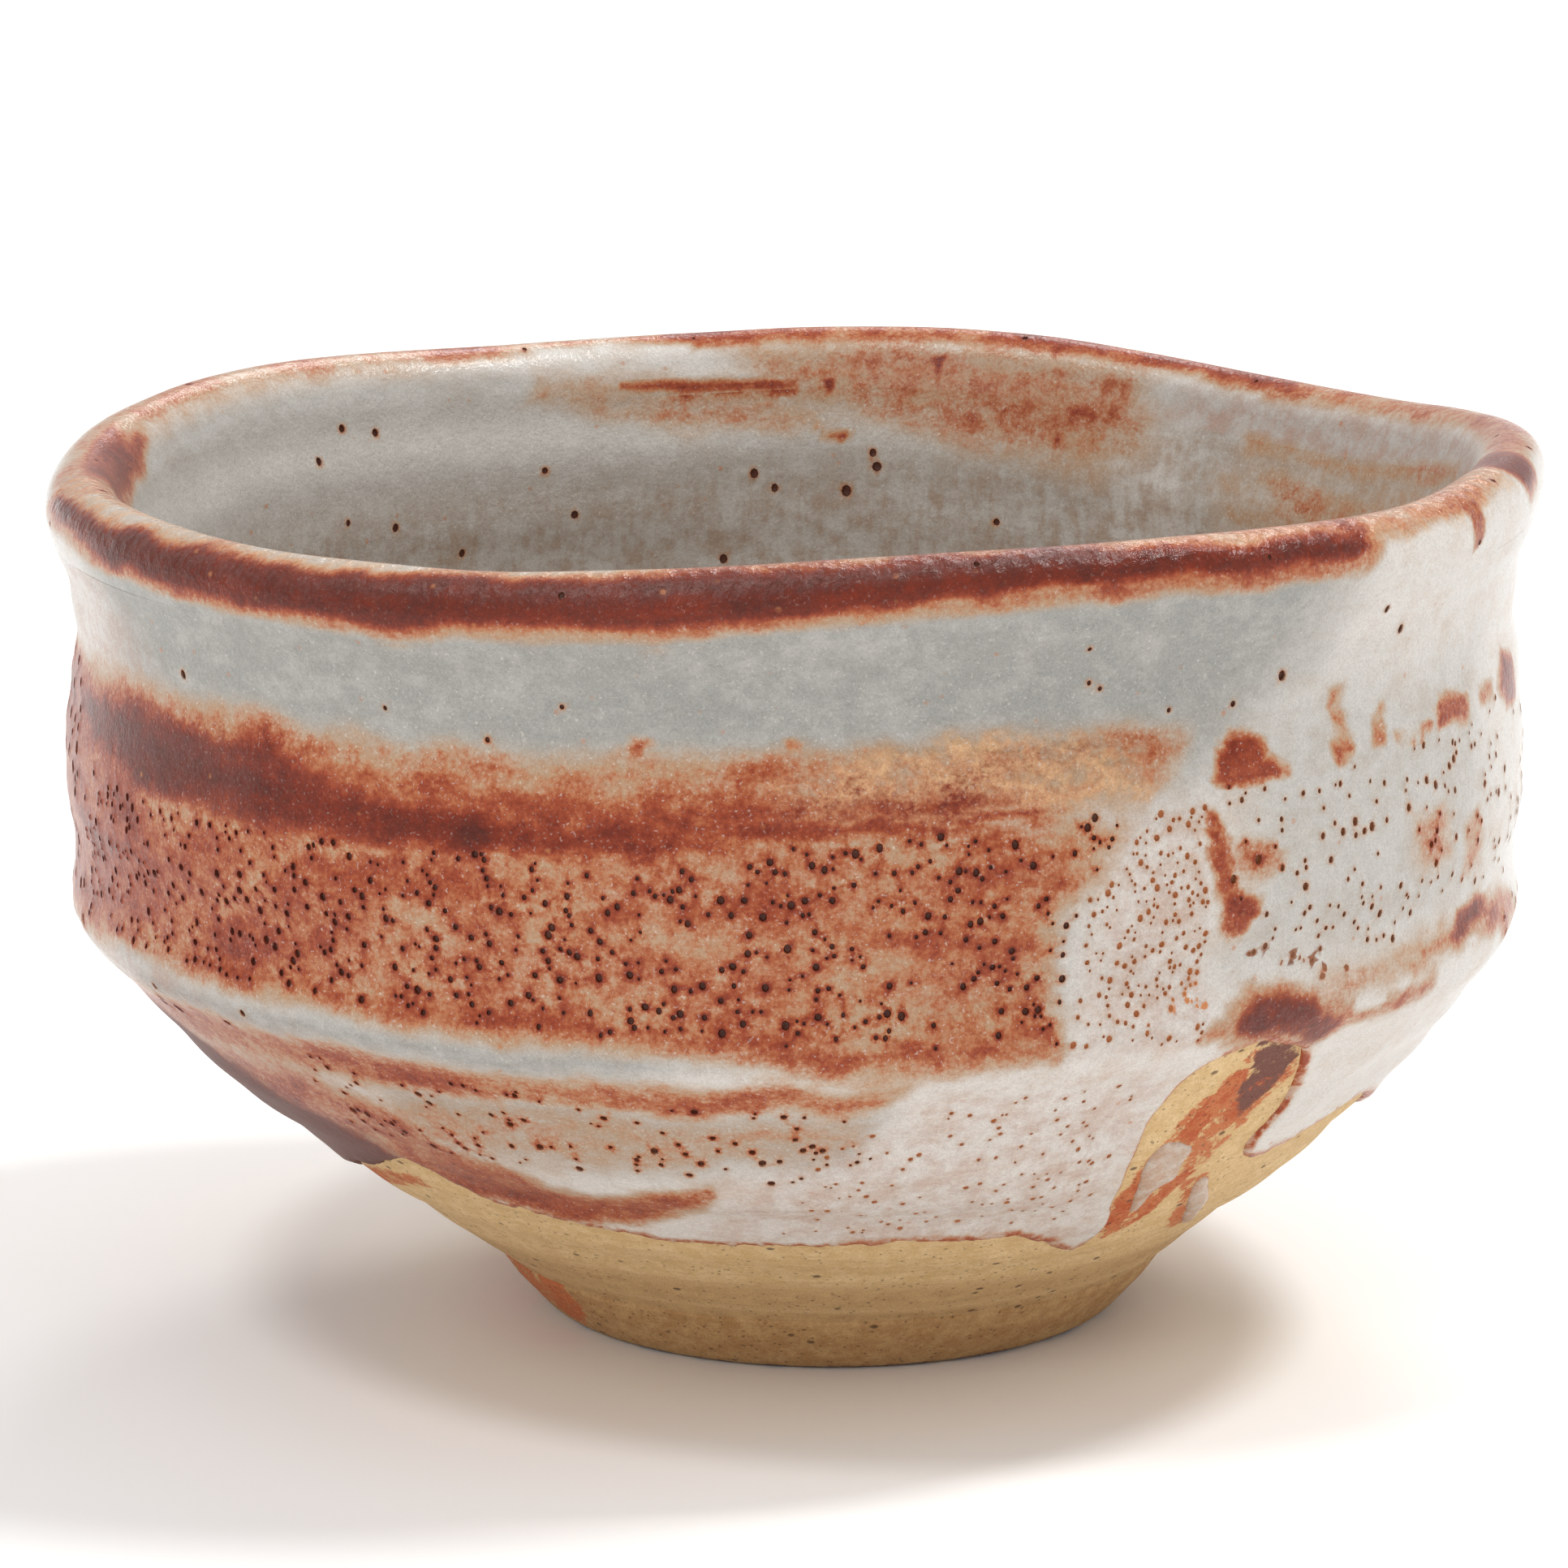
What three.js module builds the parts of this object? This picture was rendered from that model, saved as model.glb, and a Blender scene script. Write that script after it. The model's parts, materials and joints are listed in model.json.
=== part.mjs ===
// A hand-thrown matcha bowl: a stoneware body on a low ring foot, with an iron band on the lip,
// a pale ash glaze outside and in, and three loose drops of glaze on the bare clay near the foot.
// Millimetres, +Z up, the front of the bowl faces -Y.
// Origin: centre of the bowl on the plane that the foot stands on.
import * as THREE from "three";
import { ParametricGeometry } from "three/addons/geometries/ParametricGeometry.js";

// Overall sizes
const bowlWidth = 128; // across the lip, over the glaze
const bowlHeight = 75; // foot to the mean height of the lip, over the glaze
const footWidth = 59.5; // across the top of the foot, where it meets the body
const footHeight = 5.5;
const hipHeight = 36.6; // the corner between the sloping lower body and the upright wall
const footOffset = 3.1; // the foot was set a little off the centre of the lip

// Clay
const wallThickness = 4.3; // the upright wall
const hipThickness = 8.2; // at the corner, where the clay is heaviest
const floorThickness = 7.9;
const footRingWidth = 8.4; // the top of the ring, from its outside to the recess
const footContactWidth = 3.2; // the flat that stands on the table
const footFlare = 4.6; // how far the foot's outside draws in on the way down

// Glaze
const glazeThickness = 0.8;
const rimBandDepth = 4.2; // how far the iron band comes down from the lip, outside and in
const layerGap = 0.3; // between a coat and its clay, and between two coats that meet

// Heights of the glaze's lower edge, as [angle in degrees, share of the hip height].
// Angle 0 is the front, and a positive angle is to its right. The notch is a patch left bare.
const glazeEdge = [
  [-90, 0.34],
  [-75, 0.39],
  [-60, 0.51],
  [-45, 0.59],
  [-37.5, 0.51],
  [-20, 0.45],
  [0, 0.445],
  [20, 0.445],
  [26.25, 0.39],
  [28.75, 0.375],
  [33.75, 0.86],
  [35, 0.91],
  [37.5, 0.93],
  [42.5, 0.88],
  [50, 0.6],
  [60, 0.64],
  [80, 0.52],
  [90, 0.36],
  [115, 0.42],
  [140, 0.34],
  [165, 0.45],
  [195, 0.4],
  [225, 0.5],
  [250, 0.38],
];

// Rises of the lip round the bowl, as [waves in one turn, rise, angle of the first crest].
const lipWaves = [
  [1, 0.7, 90],
  [2, 1.0, 39],
  [4, 0.4, -8],
  [5, 0.5, 18],
];

// Runs of slices round the bowl, as [from, to, slices]: closer ones at the sides of the notch.
const sliceRuns = [
  [50, 387.5, 45],
  [387.5, 395, 6],
  [395, 410, 8],
];

const cover = layerGap + glazeThickness;
const lipRadius = bowlWidth / 2 - cover;
const lipTop = bowlHeight - cover;
const footRadius = footWidth / 2;
const bodyBottom = footHeight + layerGap;
const hipRadius = lipRadius * 0.973;
const floorTop = bodyBottom + floorThickness;
const innerHipRadius = hipRadius - hipThickness;
const innerHipHeight = hipHeight - 3.2;

const rad = THREE.MathUtils.degToRad;
const lerp = THREE.MathUtils.lerp;
const smoothstep = THREE.MathUtils.smoothstep;

// Even steps from one value to another, both included.
function spread(from, to, steps) {
  return Array.from({ length: steps + 1 }, (_, i) => lerp(from, to, i / steps));
}

// The angles of the slices, once round, with the first one again at the end.
const angles = [sliceRuns[0][0]];
sliceRuns.forEach(([from, to, count]) => angles.push(...spread(from, to, count).slice(1)));

// Height of the glaze's lower edge at an angle.
function glazeEdgeHeight(angle) {
  const first = glazeEdge[0][0];
  const turned = THREE.MathUtils.euclideanModulo(angle - first, 360) + first;
  const closed = [...glazeEdge, [first + 360, glazeEdge[0][1]]];
  const next = closed.findIndex(([a]) => a > turned);
  const [a0, h0] = closed[next - 1];
  const [a1, h1] = closed[next];
  return hipHeight * lerp(h0, h1, (turned - a0) / (a1 - a0));
}

// The clay's surface in section, from the body's underside, up the outside, over the lip and
// down to the middle of the well.
function bodyPoints() {
  const slope = (r, h) => [lerp(footRadius, hipRadius, r), lerp(bodyBottom, hipHeight, h)];
  const wall = (r, h) => [lipRadius * r, lerp(hipHeight, lipTop, h)];
  const inside = (r, h) => [lipRadius * r - wallThickness, lerp(hipHeight, lipTop, h)];
  const well = (r, h) => [innerHipRadius * r, lerp(floorTop, innerHipHeight, h)];
  const lipMiddle = lipRadius - wallThickness / 2;
  return {
    outside: [
      slope(0, 0),
      slope(0.17, 0.135),
      slope(0.42, 0.33),
      slope(0.62, 0.52),
      slope(0.79, 0.72),
      slope(0.93, 0.9),
      slope(1, 1),
      wall(0.968, 0.1),
      wall(0.976, 0.3),
      wall(0.97, 0.51),
      wall(0.958, 0.64),
      wall(0.968, 0.77),
      wall(0.99, 0.88),
    ],
    lip: [
      wall(1, 0.945),
      [lipRadius - wallThickness * 0.14, lerp(hipHeight, lipTop, 0.985)],
      [lipMiddle, lipTop],
      [lipRadius - wallThickness * 0.88, lerp(hipHeight, lipTop, 0.98)],
      inside(0.992, 0.93),
    ],
    inside: [
      inside(0.978, 0.86),
      inside(0.96, 0.76),
      inside(0.955, 0.6),
      inside(0.96, 0.4),
      inside(0.95, 0.18),
      well(1, 1),
      well(0.88, 0.65),
      well(0.7, 0.35),
      well(0.46, 0.12),
      well(0.2, 0.02),
      [0, floorTop],
    ],
  };
}

const points = bodyPoints();
const sectionPoints = [...points.outside, ...points.lip, ...points.inside];
const section = new THREE.CatmullRomCurve3(
  sectionPoints.map(([r, z]) => new THREE.Vector3(r, 0, z)),
  false,
  "centripetal",
);
const stationStep = 1 / (sectionPoints.length - 1);
const hipStation = 6 * stationStep;
const lipStation = (points.outside.length + 2) * stationStep;

// Where the section passes a height, between two stations.
function stationAt(height, low, high) {
  const rising = section.getPoint(high).z > section.getPoint(low).z;
  let from = low;
  let to = high;
  for (let i = 0; i < 40; i++) {
    const middle = (from + to) / 2;
    const above = section.getPoint(middle).z > height;
    if (above === rising) {
      to = middle;
    } else {
      from = middle;
    }
  }
  return (from + to) / 2;
}

// A point of the section, lifted off the clay: [radius, height].
function lifted(station, lift) {
  const point = section.getPoint(station);
  const along = section.getTangent(station);
  const radius = station > 1 - 1e-9 ? 0 : point.x + along.z * lift;
  return [radius, point.z - along.x * lift];
}

// The rise of the lip at an angle.
function lipRise(angle) {
  return lipWaves.reduce(
    (sum, [waves, rise, crest]) => sum + rise * Math.cos(rad(waves * (angle - crest))),
    0,
  );
}

// From a radius, height and angle to the leaning, wavy bowl.
function place(radius, height, angle, target) {
  const turn = rad(angle);
  const lean = footOffset * (1 - smoothstep(height, footHeight, hipHeight * 1.1));
  const rise = lipRise(angle) * smoothstep(height, hipHeight, lipTop);
  target.set(radius * Math.sin(turn) + lean, -radius * Math.cos(turn), height + rise);
}

// A body of revolution whose section may change from slice to slice.
// sectionAt(angle) gives [radius, height] points, closed on the axis or on themselves.
function turned(name, sectionAt, material) {
  const sections = angles.map(sectionAt);
  const rows = sections[0].length - 1;
  const columns = angles.length - 1;
  const geometry = new ParametricGeometry(
    (u, v, target) => {
      const column = Math.round(u * columns) % columns;
      const [radius, height] = sections[column][Math.round(v * rows)];
      place(radius, height, angles[column], target);
    },
    columns,
    rows,
  );
  const mesh = new THREE.Mesh(geometry, material);
  mesh.name = name;
  return mesh;
}

function ceramic(colour, roughness) {
  return new THREE.MeshStandardMaterial({ color: colour, roughness, metalness: 0 });
}

// Borders between the coats, as stations of the section.
const bandTop = lipTop - rimBandDepth;
const bandOutside = stationAt(bandTop, hipStation, lipStation);
const bandInside = stationAt(bandTop, lipStation, lipStation + 6 * stationStep);
const wallStations = spread(hipStation, bandOutside, 7);
const bandStations = spread(bandOutside, bandInside, 8);
const innerStations = spread(bandInside, 1, 12);

// Where the coats outside and inside stop, one gap short of the iron band.
const seamOutside = stationAt(bandTop - layerGap, hipStation, lipStation);
const seamInside = stationAt(bandTop - layerGap, lipStation, lipStation + 6 * stationStep);

// The thrown body: wall, heavy hip, floor and well.
function clayBody() {
  const underside = [
    [0, bodyBottom],
    [footRadius - footRingWidth, bodyBottom],
  ];
  const lower = spread(0, hipStation, 9);
  const stations = [
    ...lower,
    ...wallStations.slice(1),
    ...bandStations.slice(1),
    ...innerStations.slice(1),
  ];
  const outline = [...underside, ...stations.map((s) => lifted(s, 0))];
  return turned("clay_body", () => outline, ceramic(0xd2b27f, 0.85));
}

// The ring foot under the body, with its recess.
function footRing() {
  const outside = footRadius - footFlare;
  const contactInside = outside - footContactWidth - 0.9;
  const recess = footRadius - footRingWidth;
  const outline = [
    [contactInside, 0],
    [outside - 0.9, 0],
    [outside + footFlare * 0.08, footHeight * 0.13],
    [outside + footFlare * 0.42, footHeight * 0.38],
    [outside + footFlare * 0.78, footHeight * 0.7],
    [footRadius - 0.25, footHeight * 0.93],
    [footRadius - 0.7, footHeight],
    [recess, footHeight],
    [recess, footHeight * 0.45],
    [lerp(recess, contactInside, 0.5), footHeight * 0.12],
    [contactInside, 0],
  ];
  return turned("foot_ring", () => outline, ceramic(0xae9360, 0.9));
}

// A coat of glaze that lies over a run of stations, as a closed section.
function coat(stations) {
  const under = stations.map((s) => lifted(s, layerGap)).reverse();
  const over = stations.map((s) => lifted(s, cover));
  return [...over, ...under, over[0]];
}

// The pale glaze outside, from its wavy edge above the foot to the iron band.
function outerGlaze() {
  const sectionAt = (angle) => {
    const edge = stationAt(glazeEdgeHeight(angle), 0, hipStation);
    const lower = spread(edge, hipStation, 6);
    return coat([...lower, ...wallStations.slice(1, -1), seamOutside]);
  };
  return turned("outer_glaze", sectionAt, ceramic(0xb9aea4, 0.3));
}

// The iron-red band over the lip.
function rimGlaze() {
  const outline = coat(bandStations);
  return turned("rim_glaze", () => outline, ceramic(0x6e2f20, 0.25));
}

// The glaze inside, from the iron band to the middle of the well.
function innerGlaze() {
  const stations = [seamInside, ...innerStations.slice(1)];
  const over = stations.map((s) => lifted(s, cover));
  const under = stations.map((s) => lifted(s, layerGap)).reverse();
  const outline = [...under, ...over];
  return turned("inner_glaze", () => outline, ceramic(0xa99a90, 0.3));
}

// A loose drop of glaze on the clay: a thin domed island.
// middle and tilt are angles in degrees, height is a share of the hip height, long and wide in mm.
function glazeDrop({ name, middle, height, long, wide, tilt, colour }) {
  const level = hipHeight * height;
  const radiusHere = section.getPoint(stationAt(level, 0, hipStation)).x;
  const rings = [
    [0.001, layerGap],
    [0.6, layerGap],
    [1, layerGap],
    [0.97, layerGap + glazeThickness * 0.6],
    [0.75, cover],
    [0.001, cover],
  ];
  const columns = 20;
  const rows = rings.length - 1;
  const geometry = new ParametricGeometry(
    (u, v, target) => {
      const [share, lift] = rings[Math.round(v * rows)];
      const reach = share < 0.01 ? 0 : share;
      const turn = u === 1 ? 0 : u * Math.PI * 2;
      const across = (Math.cos(turn) * reach * wide) / 2;
      const down = (Math.sin(turn) * reach * long) / 2;
      const side = across * Math.cos(rad(tilt)) + down * Math.sin(rad(tilt));
      const rise = down * Math.cos(rad(tilt)) - across * Math.sin(rad(tilt));
      const station = stationAt(level + rise * 0.7, 0, hipStation);
      const [radius, z] = lifted(station, lift);
      place(radius, z, middle + THREE.MathUtils.radToDeg(side / radiusHere), target);
    },
    columns,
    rows,
  );
  const mesh = new THREE.Mesh(geometry, ceramic(colour, 0.3));
  mesh.name = name;
  return mesh;
}

const drops = [
  { name: "notch_glaze_drop", middle: 35.5, height: 0.56, long: 10.5, wide: 3.6, tilt: 8 },
  { name: "trailing_glaze_drop", middle: 49, height: 0.45, long: 7.6, wide: 1.9, tilt: -42 },
  { name: "side_glaze_drop", middle: 86, height: 0.24, long: 3, wide: 6.4, tilt: 0 },
];

const bowl = new THREE.Group();
bowl.name = "matcha_bowl";
bowl.add(clayBody(), footRing(), outerGlaze(), rimGlaze(), innerGlaze());
drops.forEach((drop) => bowl.add(glazeDrop({ ...drop, colour: 0xd8c6ba })));

export default bowl;
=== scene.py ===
import json
import math

import bmesh
import bpy
import numpy as np
from mathutils import Matrix, Vector, kdtree, noise
from mathutils.geometry import delaunay_2d_cdt

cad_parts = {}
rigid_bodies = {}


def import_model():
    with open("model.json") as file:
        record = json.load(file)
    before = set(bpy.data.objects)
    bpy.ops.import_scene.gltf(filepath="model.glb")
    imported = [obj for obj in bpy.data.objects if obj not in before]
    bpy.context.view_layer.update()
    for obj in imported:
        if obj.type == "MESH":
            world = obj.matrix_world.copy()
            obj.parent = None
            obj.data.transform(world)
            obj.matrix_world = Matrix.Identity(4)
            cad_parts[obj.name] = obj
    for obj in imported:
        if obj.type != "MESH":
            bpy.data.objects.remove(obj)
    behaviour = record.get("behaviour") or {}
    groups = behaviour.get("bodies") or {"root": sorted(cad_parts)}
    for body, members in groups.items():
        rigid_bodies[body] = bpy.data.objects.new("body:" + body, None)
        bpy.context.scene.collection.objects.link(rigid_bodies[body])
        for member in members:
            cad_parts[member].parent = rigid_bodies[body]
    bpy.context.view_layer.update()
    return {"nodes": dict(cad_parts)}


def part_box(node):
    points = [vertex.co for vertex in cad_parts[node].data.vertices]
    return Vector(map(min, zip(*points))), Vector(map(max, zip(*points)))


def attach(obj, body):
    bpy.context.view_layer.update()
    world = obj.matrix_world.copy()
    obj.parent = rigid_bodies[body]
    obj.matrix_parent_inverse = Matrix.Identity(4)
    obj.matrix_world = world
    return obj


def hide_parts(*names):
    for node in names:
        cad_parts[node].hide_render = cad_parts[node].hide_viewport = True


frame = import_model()
print("frame loaded:", sorted(frame["nodes"]))

mm = 0.001
mmPerDegree = 1.08  # along the wall, for a degree of turn


# ---------- the form that every piece shares ----------

def nodeSize(node):
    low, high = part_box(node)
    return [low[i] / mm for i in range(3)], [high[i] / mm for i in range(3)]


# Rises of the lip: waves in one turn, rise in mm, angle of the first crest
lipWaves = [(1, 0.7, 90), (2, 1.0, 39), (4, 0.4, -8), (5, 0.5, 18)]


def lipRise(angle):
    return sum(rise * np.cos(np.radians(waves * (angle - crest))) for waves, rise, crest in lipWaves)


clayLow, clayHigh = nodeSize("clay_body")
footLow, footHigh = nodeSize("foot_ring")
rimLow, rimHigh = nodeSize("rim_glaze")

form = {
    "coat": 1.03,  # glaze over clay
    "lipRadius": (clayHigh[0] - clayLow[0]) / 2,
    "footRadius": (footHigh[0] - footLow[0]) / 2,
    "footOffset": (footHigh[0] + footLow[0]) / 2,
    "footHeight": footHigh[2],
    "bodyBottom": clayLow[2],
    "hipHeight": 36.6,
    "wall": 4.3,
    "hipThickness": 8.2,
    "floorTop": clayLow[2] + 7.9,
    "bandDepth": 4.2,
}
form["lipTop"] = rimHigh[2] - form["coat"] - float(lipRise(np.arange(-180, 180.0)).max())
form["hipRadius"] = form["lipRadius"] * 0.973


def lerp(a, b, t):
    return a + (b - a) * t


def smoothStep(x, low, high):
    t = np.clip((x - low) / (high - low), 0, 1)
    return t * t * (3 - 2 * t)


# Centripetal spline through the points, as a dense line
def smoothLine(points, perSpan=30):
    p = np.array(points, float)
    p = np.vstack([2 * p[0] - p[1], p, 2 * p[-1] - p[-2]])
    line = []
    for i in range(1, len(p) - 2):
        p0, p1, p2, p3 = p[i - 1:i + 3]
        t0 = 0.0
        t1 = t0 + np.linalg.norm(p1 - p0) ** 0.5
        t2 = t1 + np.linalg.norm(p2 - p1) ** 0.5
        t3 = t2 + np.linalg.norm(p3 - p2) ** 0.5
        t = np.linspace(t1, t2, perSpan, endpoint=False)[:, None]
        a1 = (t1 - t) / (t1 - t0) * p0 + (t - t0) / (t1 - t0) * p1
        a2 = (t2 - t) / (t2 - t1) * p1 + (t - t1) / (t2 - t1) * p2
        a3 = (t3 - t) / (t3 - t2) * p2 + (t - t2) / (t3 - t2) * p3
        b1 = (t2 - t) / (t2 - t0) * a1 + (t - t0) / (t2 - t0) * a2
        b2 = (t3 - t) / (t3 - t1) * a2 + (t - t1) / (t3 - t1) * a3
        line.append((t2 - t) / (t2 - t1) * b1 + (t - t1) / (t2 - t1) * b2)
    return np.vstack([*line, p[-2][None, :]])


# The clay's surface in section: up the outside, over the lip and down to the middle of the well
def bodySection():
    f = form
    wallR, lipTop, hip = f["lipRadius"], f["lipTop"], f["hipHeight"]
    innerHip = (f["hipRadius"] - f["hipThickness"], hip - 3.2)
    slope = lambda r, h: (lerp(f["footRadius"], f["hipRadius"], r), lerp(f["bodyBottom"], hip, h))
    wall = lambda r, h: (wallR * r, lerp(hip, lipTop, h))
    inside = lambda r, h: (wallR * r - f["wall"], lerp(hip, lipTop, h))
    well = lambda r, h: (innerHip[0] * r, lerp(f["floorTop"], innerHip[1], h))
    outside = [slope(0, 0), slope(0.17, 0.135), slope(0.42, 0.33), slope(0.62, 0.52), slope(0.79, 0.72),
               slope(0.93, 0.9), slope(1, 1), wall(0.968, 0.1), wall(0.976, 0.3), wall(0.97, 0.51),
               wall(0.958, 0.64), wall(0.968, 0.77), wall(0.99, 0.88)]
    lip = [wall(1, 0.945), (wallR - f["wall"] * 0.14, lerp(hip, lipTop, 0.985)), (wallR - f["wall"] / 2, lipTop),
           (wallR - f["wall"] * 0.88, lerp(hip, lipTop, 0.98)), inside(0.992, 0.93)]
    inner = [inside(0.978, 0.86), inside(0.96, 0.76), inside(0.955, 0.6), inside(0.96, 0.4), inside(0.95, 0.18),
             well(1, 1), well(0.88, 0.65), well(0.7, 0.35), well(0.46, 0.12), well(0.2, 0.02), (0, f["floorTop"])]
    return smoothLine(outside + lip + inner)


sectionLine = bodySection()
sectionLine[-1, 0] = 0
stepLengths = np.linalg.norm(np.diff(sectionLine, axis=0), axis=1)
along = np.concatenate([[0], np.cumsum(stepLengths)])  # mm from the body's lower edge
tangent = np.gradient(sectionLine, along, axis=0)
tangent /= np.linalg.norm(tangent, axis=1)[:, None]
crestIndex = int(np.argmax(sectionLine[:, 1]))
crestAlong = along[crestIndex]


def sectionAt(s):
    r = np.interp(s, along, sectionLine[:, 0])
    z = np.interp(s, along, sectionLine[:, 1])
    tr = np.interp(s, along, tangent[:, 0])
    tz = np.interp(s, along, tangent[:, 1])
    return r, z, tz, -tr  # radius, height, and the outward normal's two parts


# Distance along the section at a height, outside the bowl or inside it
def alongOutside(z):
    return np.interp(z, sectionLine[:crestIndex + 1, 1], along[:crestIndex + 1])


def alongInside(z):
    return np.interp(-np.asarray(z, float), -sectionLine[crestIndex:, 1], along[crestIndex:])


# From radius, height and angle to the leaning, wavy bowl, in metres
def place(r, z, angle):
    turn = np.radians(angle)
    lean = form["footOffset"] * (1 - smoothStep(z, form["footHeight"], form["hipHeight"] * 1.1))
    rise = lipRise(angle) * smoothStep(z, form["hipHeight"], form["lipTop"])
    return np.stack([r * np.sin(turn) + lean, -r * np.cos(turn), z + rise], -1) * mm


# And back: angle, radius and height before the lean and the waves
def unplace(xyz):
    x, y, zTop = (xyz / mm).T
    z = zTop.copy()
    for _ in range(6):
        lean = form["footOffset"] * (1 - smoothStep(z, form["footHeight"], form["hipHeight"] * 1.1))
        angle = np.degrees(np.arctan2(x - lean, -y))
        z = zTop - lipRise(angle) * smoothStep(z, form["hipHeight"], form["lipTop"])
    return angle, np.hypot(x - lean, y), z


def fractal(points, scale, octaves=3, shift=0.0):
    return np.array([noise.fractal((p[0] * scale + shift, p[1] * scale, p[2] * scale), 1.0, 2.0, octaves)
                     for p in points])


# Slow unevenness of a thrown wall, in mm, the same for clay and glaze
def thrownWaves(angle, s, xyz):
    rings = 0.10 * np.sin(s / 2.1 + 0.8 * np.sin(np.radians(angle + 40)))
    rings += 0.07 * np.sin(s / 0.93 + 1.1 * np.sin(np.radians(angle * 2)))
    swell = 0.22 * fractal(xyz / mm, 0.045, 2)
    fade = smoothStep(s, 1.0, 6.0) * (1 - smoothStep(s, along[-1] - 12, along[-1] - 3))
    return (rings + swell) * fade


# ---------- small mesh helpers ----------

def meshObject(name, verts, faces):
    mesh = bpy.data.meshes.new(name)
    mesh.from_pydata([tuple(v) for v in verts], [], [tuple(f) for f in faces])
    mesh.update()
    obj = bpy.data.objects.new(name, mesh)
    bpy.context.scene.collection.objects.link(obj)
    return obj


def weld(obj, distance=2e-6):
    bm = bmesh.new()
    bm.from_mesh(obj.data)
    bmesh.ops.remove_doubles(bm, verts=bm.verts, dist=distance)
    bmesh.ops.dissolve_degenerate(bm, edges=bm.edges, dist=1e-8)
    openEdges = sum(1 for e in bm.edges if not e.is_manifold)
    bm.to_mesh(obj.data)
    bm.free()
    if openEdges:
        print("  note:", obj.name, "has", openEdges, "open edges")


def smoothShade(obj, angle=38):
    obj.data.shade_smooth()
    obj.data.set_sharp_from_angle(angle=math.radians(angle))


def vertexArray(obj):
    co = np.zeros(len(obj.data.vertices) * 3)
    obj.data.vertices.foreach_get("co", co)
    return co.reshape(-1, 3)


def setAttribute(obj, name, values):
    layer = obj.data.attributes.get(name) or obj.data.attributes.new(name, "FLOAT", "POINT")
    layer.data.foreach_set("value", np.asarray(values, np.float32))


# ---------- outlines and patches, as (angle in degrees, height in mm) ----------

def roundedLine(points, rounds=2, closed=False):
    p = np.array(points, float)
    for _ in range(rounds):
        q = np.roll(p, -1, axis=0) if closed else p[1:]
        base = p if closed else p[:-1]
        cut = np.stack([base * 0.75 + q * 0.25, base * 0.25 + q * 0.75], 1).reshape(-1, 2)
        p = cut if closed else np.vstack([p[:1], cut, p[-1:]])
    return p


def resampled(points, stepAt):
    flat = points * [mmPerDegree, 1]
    lengths = np.concatenate([[0], np.cumsum(np.linalg.norm(np.diff(flat, axis=0), axis=1))])
    places, here = [0.0], 0.0
    while True:
        angle = np.interp(here, lengths, points[:, 0])
        here += stepAt(angle)
        if here > lengths[-1] - 0.4 * stepAt(angle):
            break
        places.append(here)
    places.append(lengths[-1])
    return np.stack([np.interp(places, lengths, points[:, k]) for k in (0, 1)], 1)


def insidePolygon(points, polygon):
    x, y = points[:, 0], points[:, 1]
    inside = np.zeros(len(points), bool)
    for (x0, y0), (x1, y1) in zip(polygon, np.roll(polygon, -1, axis=0)):
        crosses = (y0 > y) != (y1 > y)
        at = x0 + (y - y0) * (x1 - x0) / ((y1 - y0) if y1 != y0 else 1e-12)
        inside ^= crosses & (x < at)
    return inside


# Distance in mm from points to a line of segments, in flattened (mm, mm) coordinates
def lineDistance(points, line, closed=False):
    best = np.full(len(points), 1e9)
    ends = np.roll(line, -1, axis=0) if closed else line[1:]
    starts = line if closed else line[:-1]
    for a, b in zip(starts, ends):
        ab = b - a
        t = np.clip(((points - a) @ ab) / max(ab @ ab, 1e-12), 0, 1)
        best = np.minimum(best, np.linalg.norm(points - a - t[:, None] * ab, axis=1))
    return best


# Pushes points about a little, so that painted outlines wander as a brush and a kiln leave them
def wandered(angle, height, xyz, amount=1.0):
    push = np.array([noise.noise_vector(p * 0.14) * 1.2 + noise.noise_vector(p * 0.5) * 0.6
                     for p in (Vector(v) for v in xyz / mm)])
    return angle + amount * push[:, 0] / mmPerDegree * 1.3, height + amount * push[:, 2] * 0.8


# How far a list of soft patches covers each point, the strongest one winning
def painted(angle, height, patches):
    value = np.zeros(len(angle))
    flat = np.stack([angle * mmPerDegree, height], 1)
    for amount, soft, outline in patches:
        polygon = np.array(outline, float) * [mmPerDegree, 1]
        low, high = polygon.min(0) - soft * 1.5, polygon.max(0) + soft * 1.5
        for turn in (-360, 0, 360):
            moved = flat + [turn * mmPerDegree, 0]
            near = np.all((moved > low) & (moved < high), axis=1)
            if not near.any():
                continue
            some = moved[near]
            distance = lineDistance(some, polygon, closed=True)
            signed = np.where(insidePolygon(some, polygon), -distance, distance)
            cover = 1 - smoothStep(signed, -soft, soft)
            value[near] = np.maximum(value[near], amount * cover)
    return value


# ---------- where the glaze ends and what colours it ----------

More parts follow.
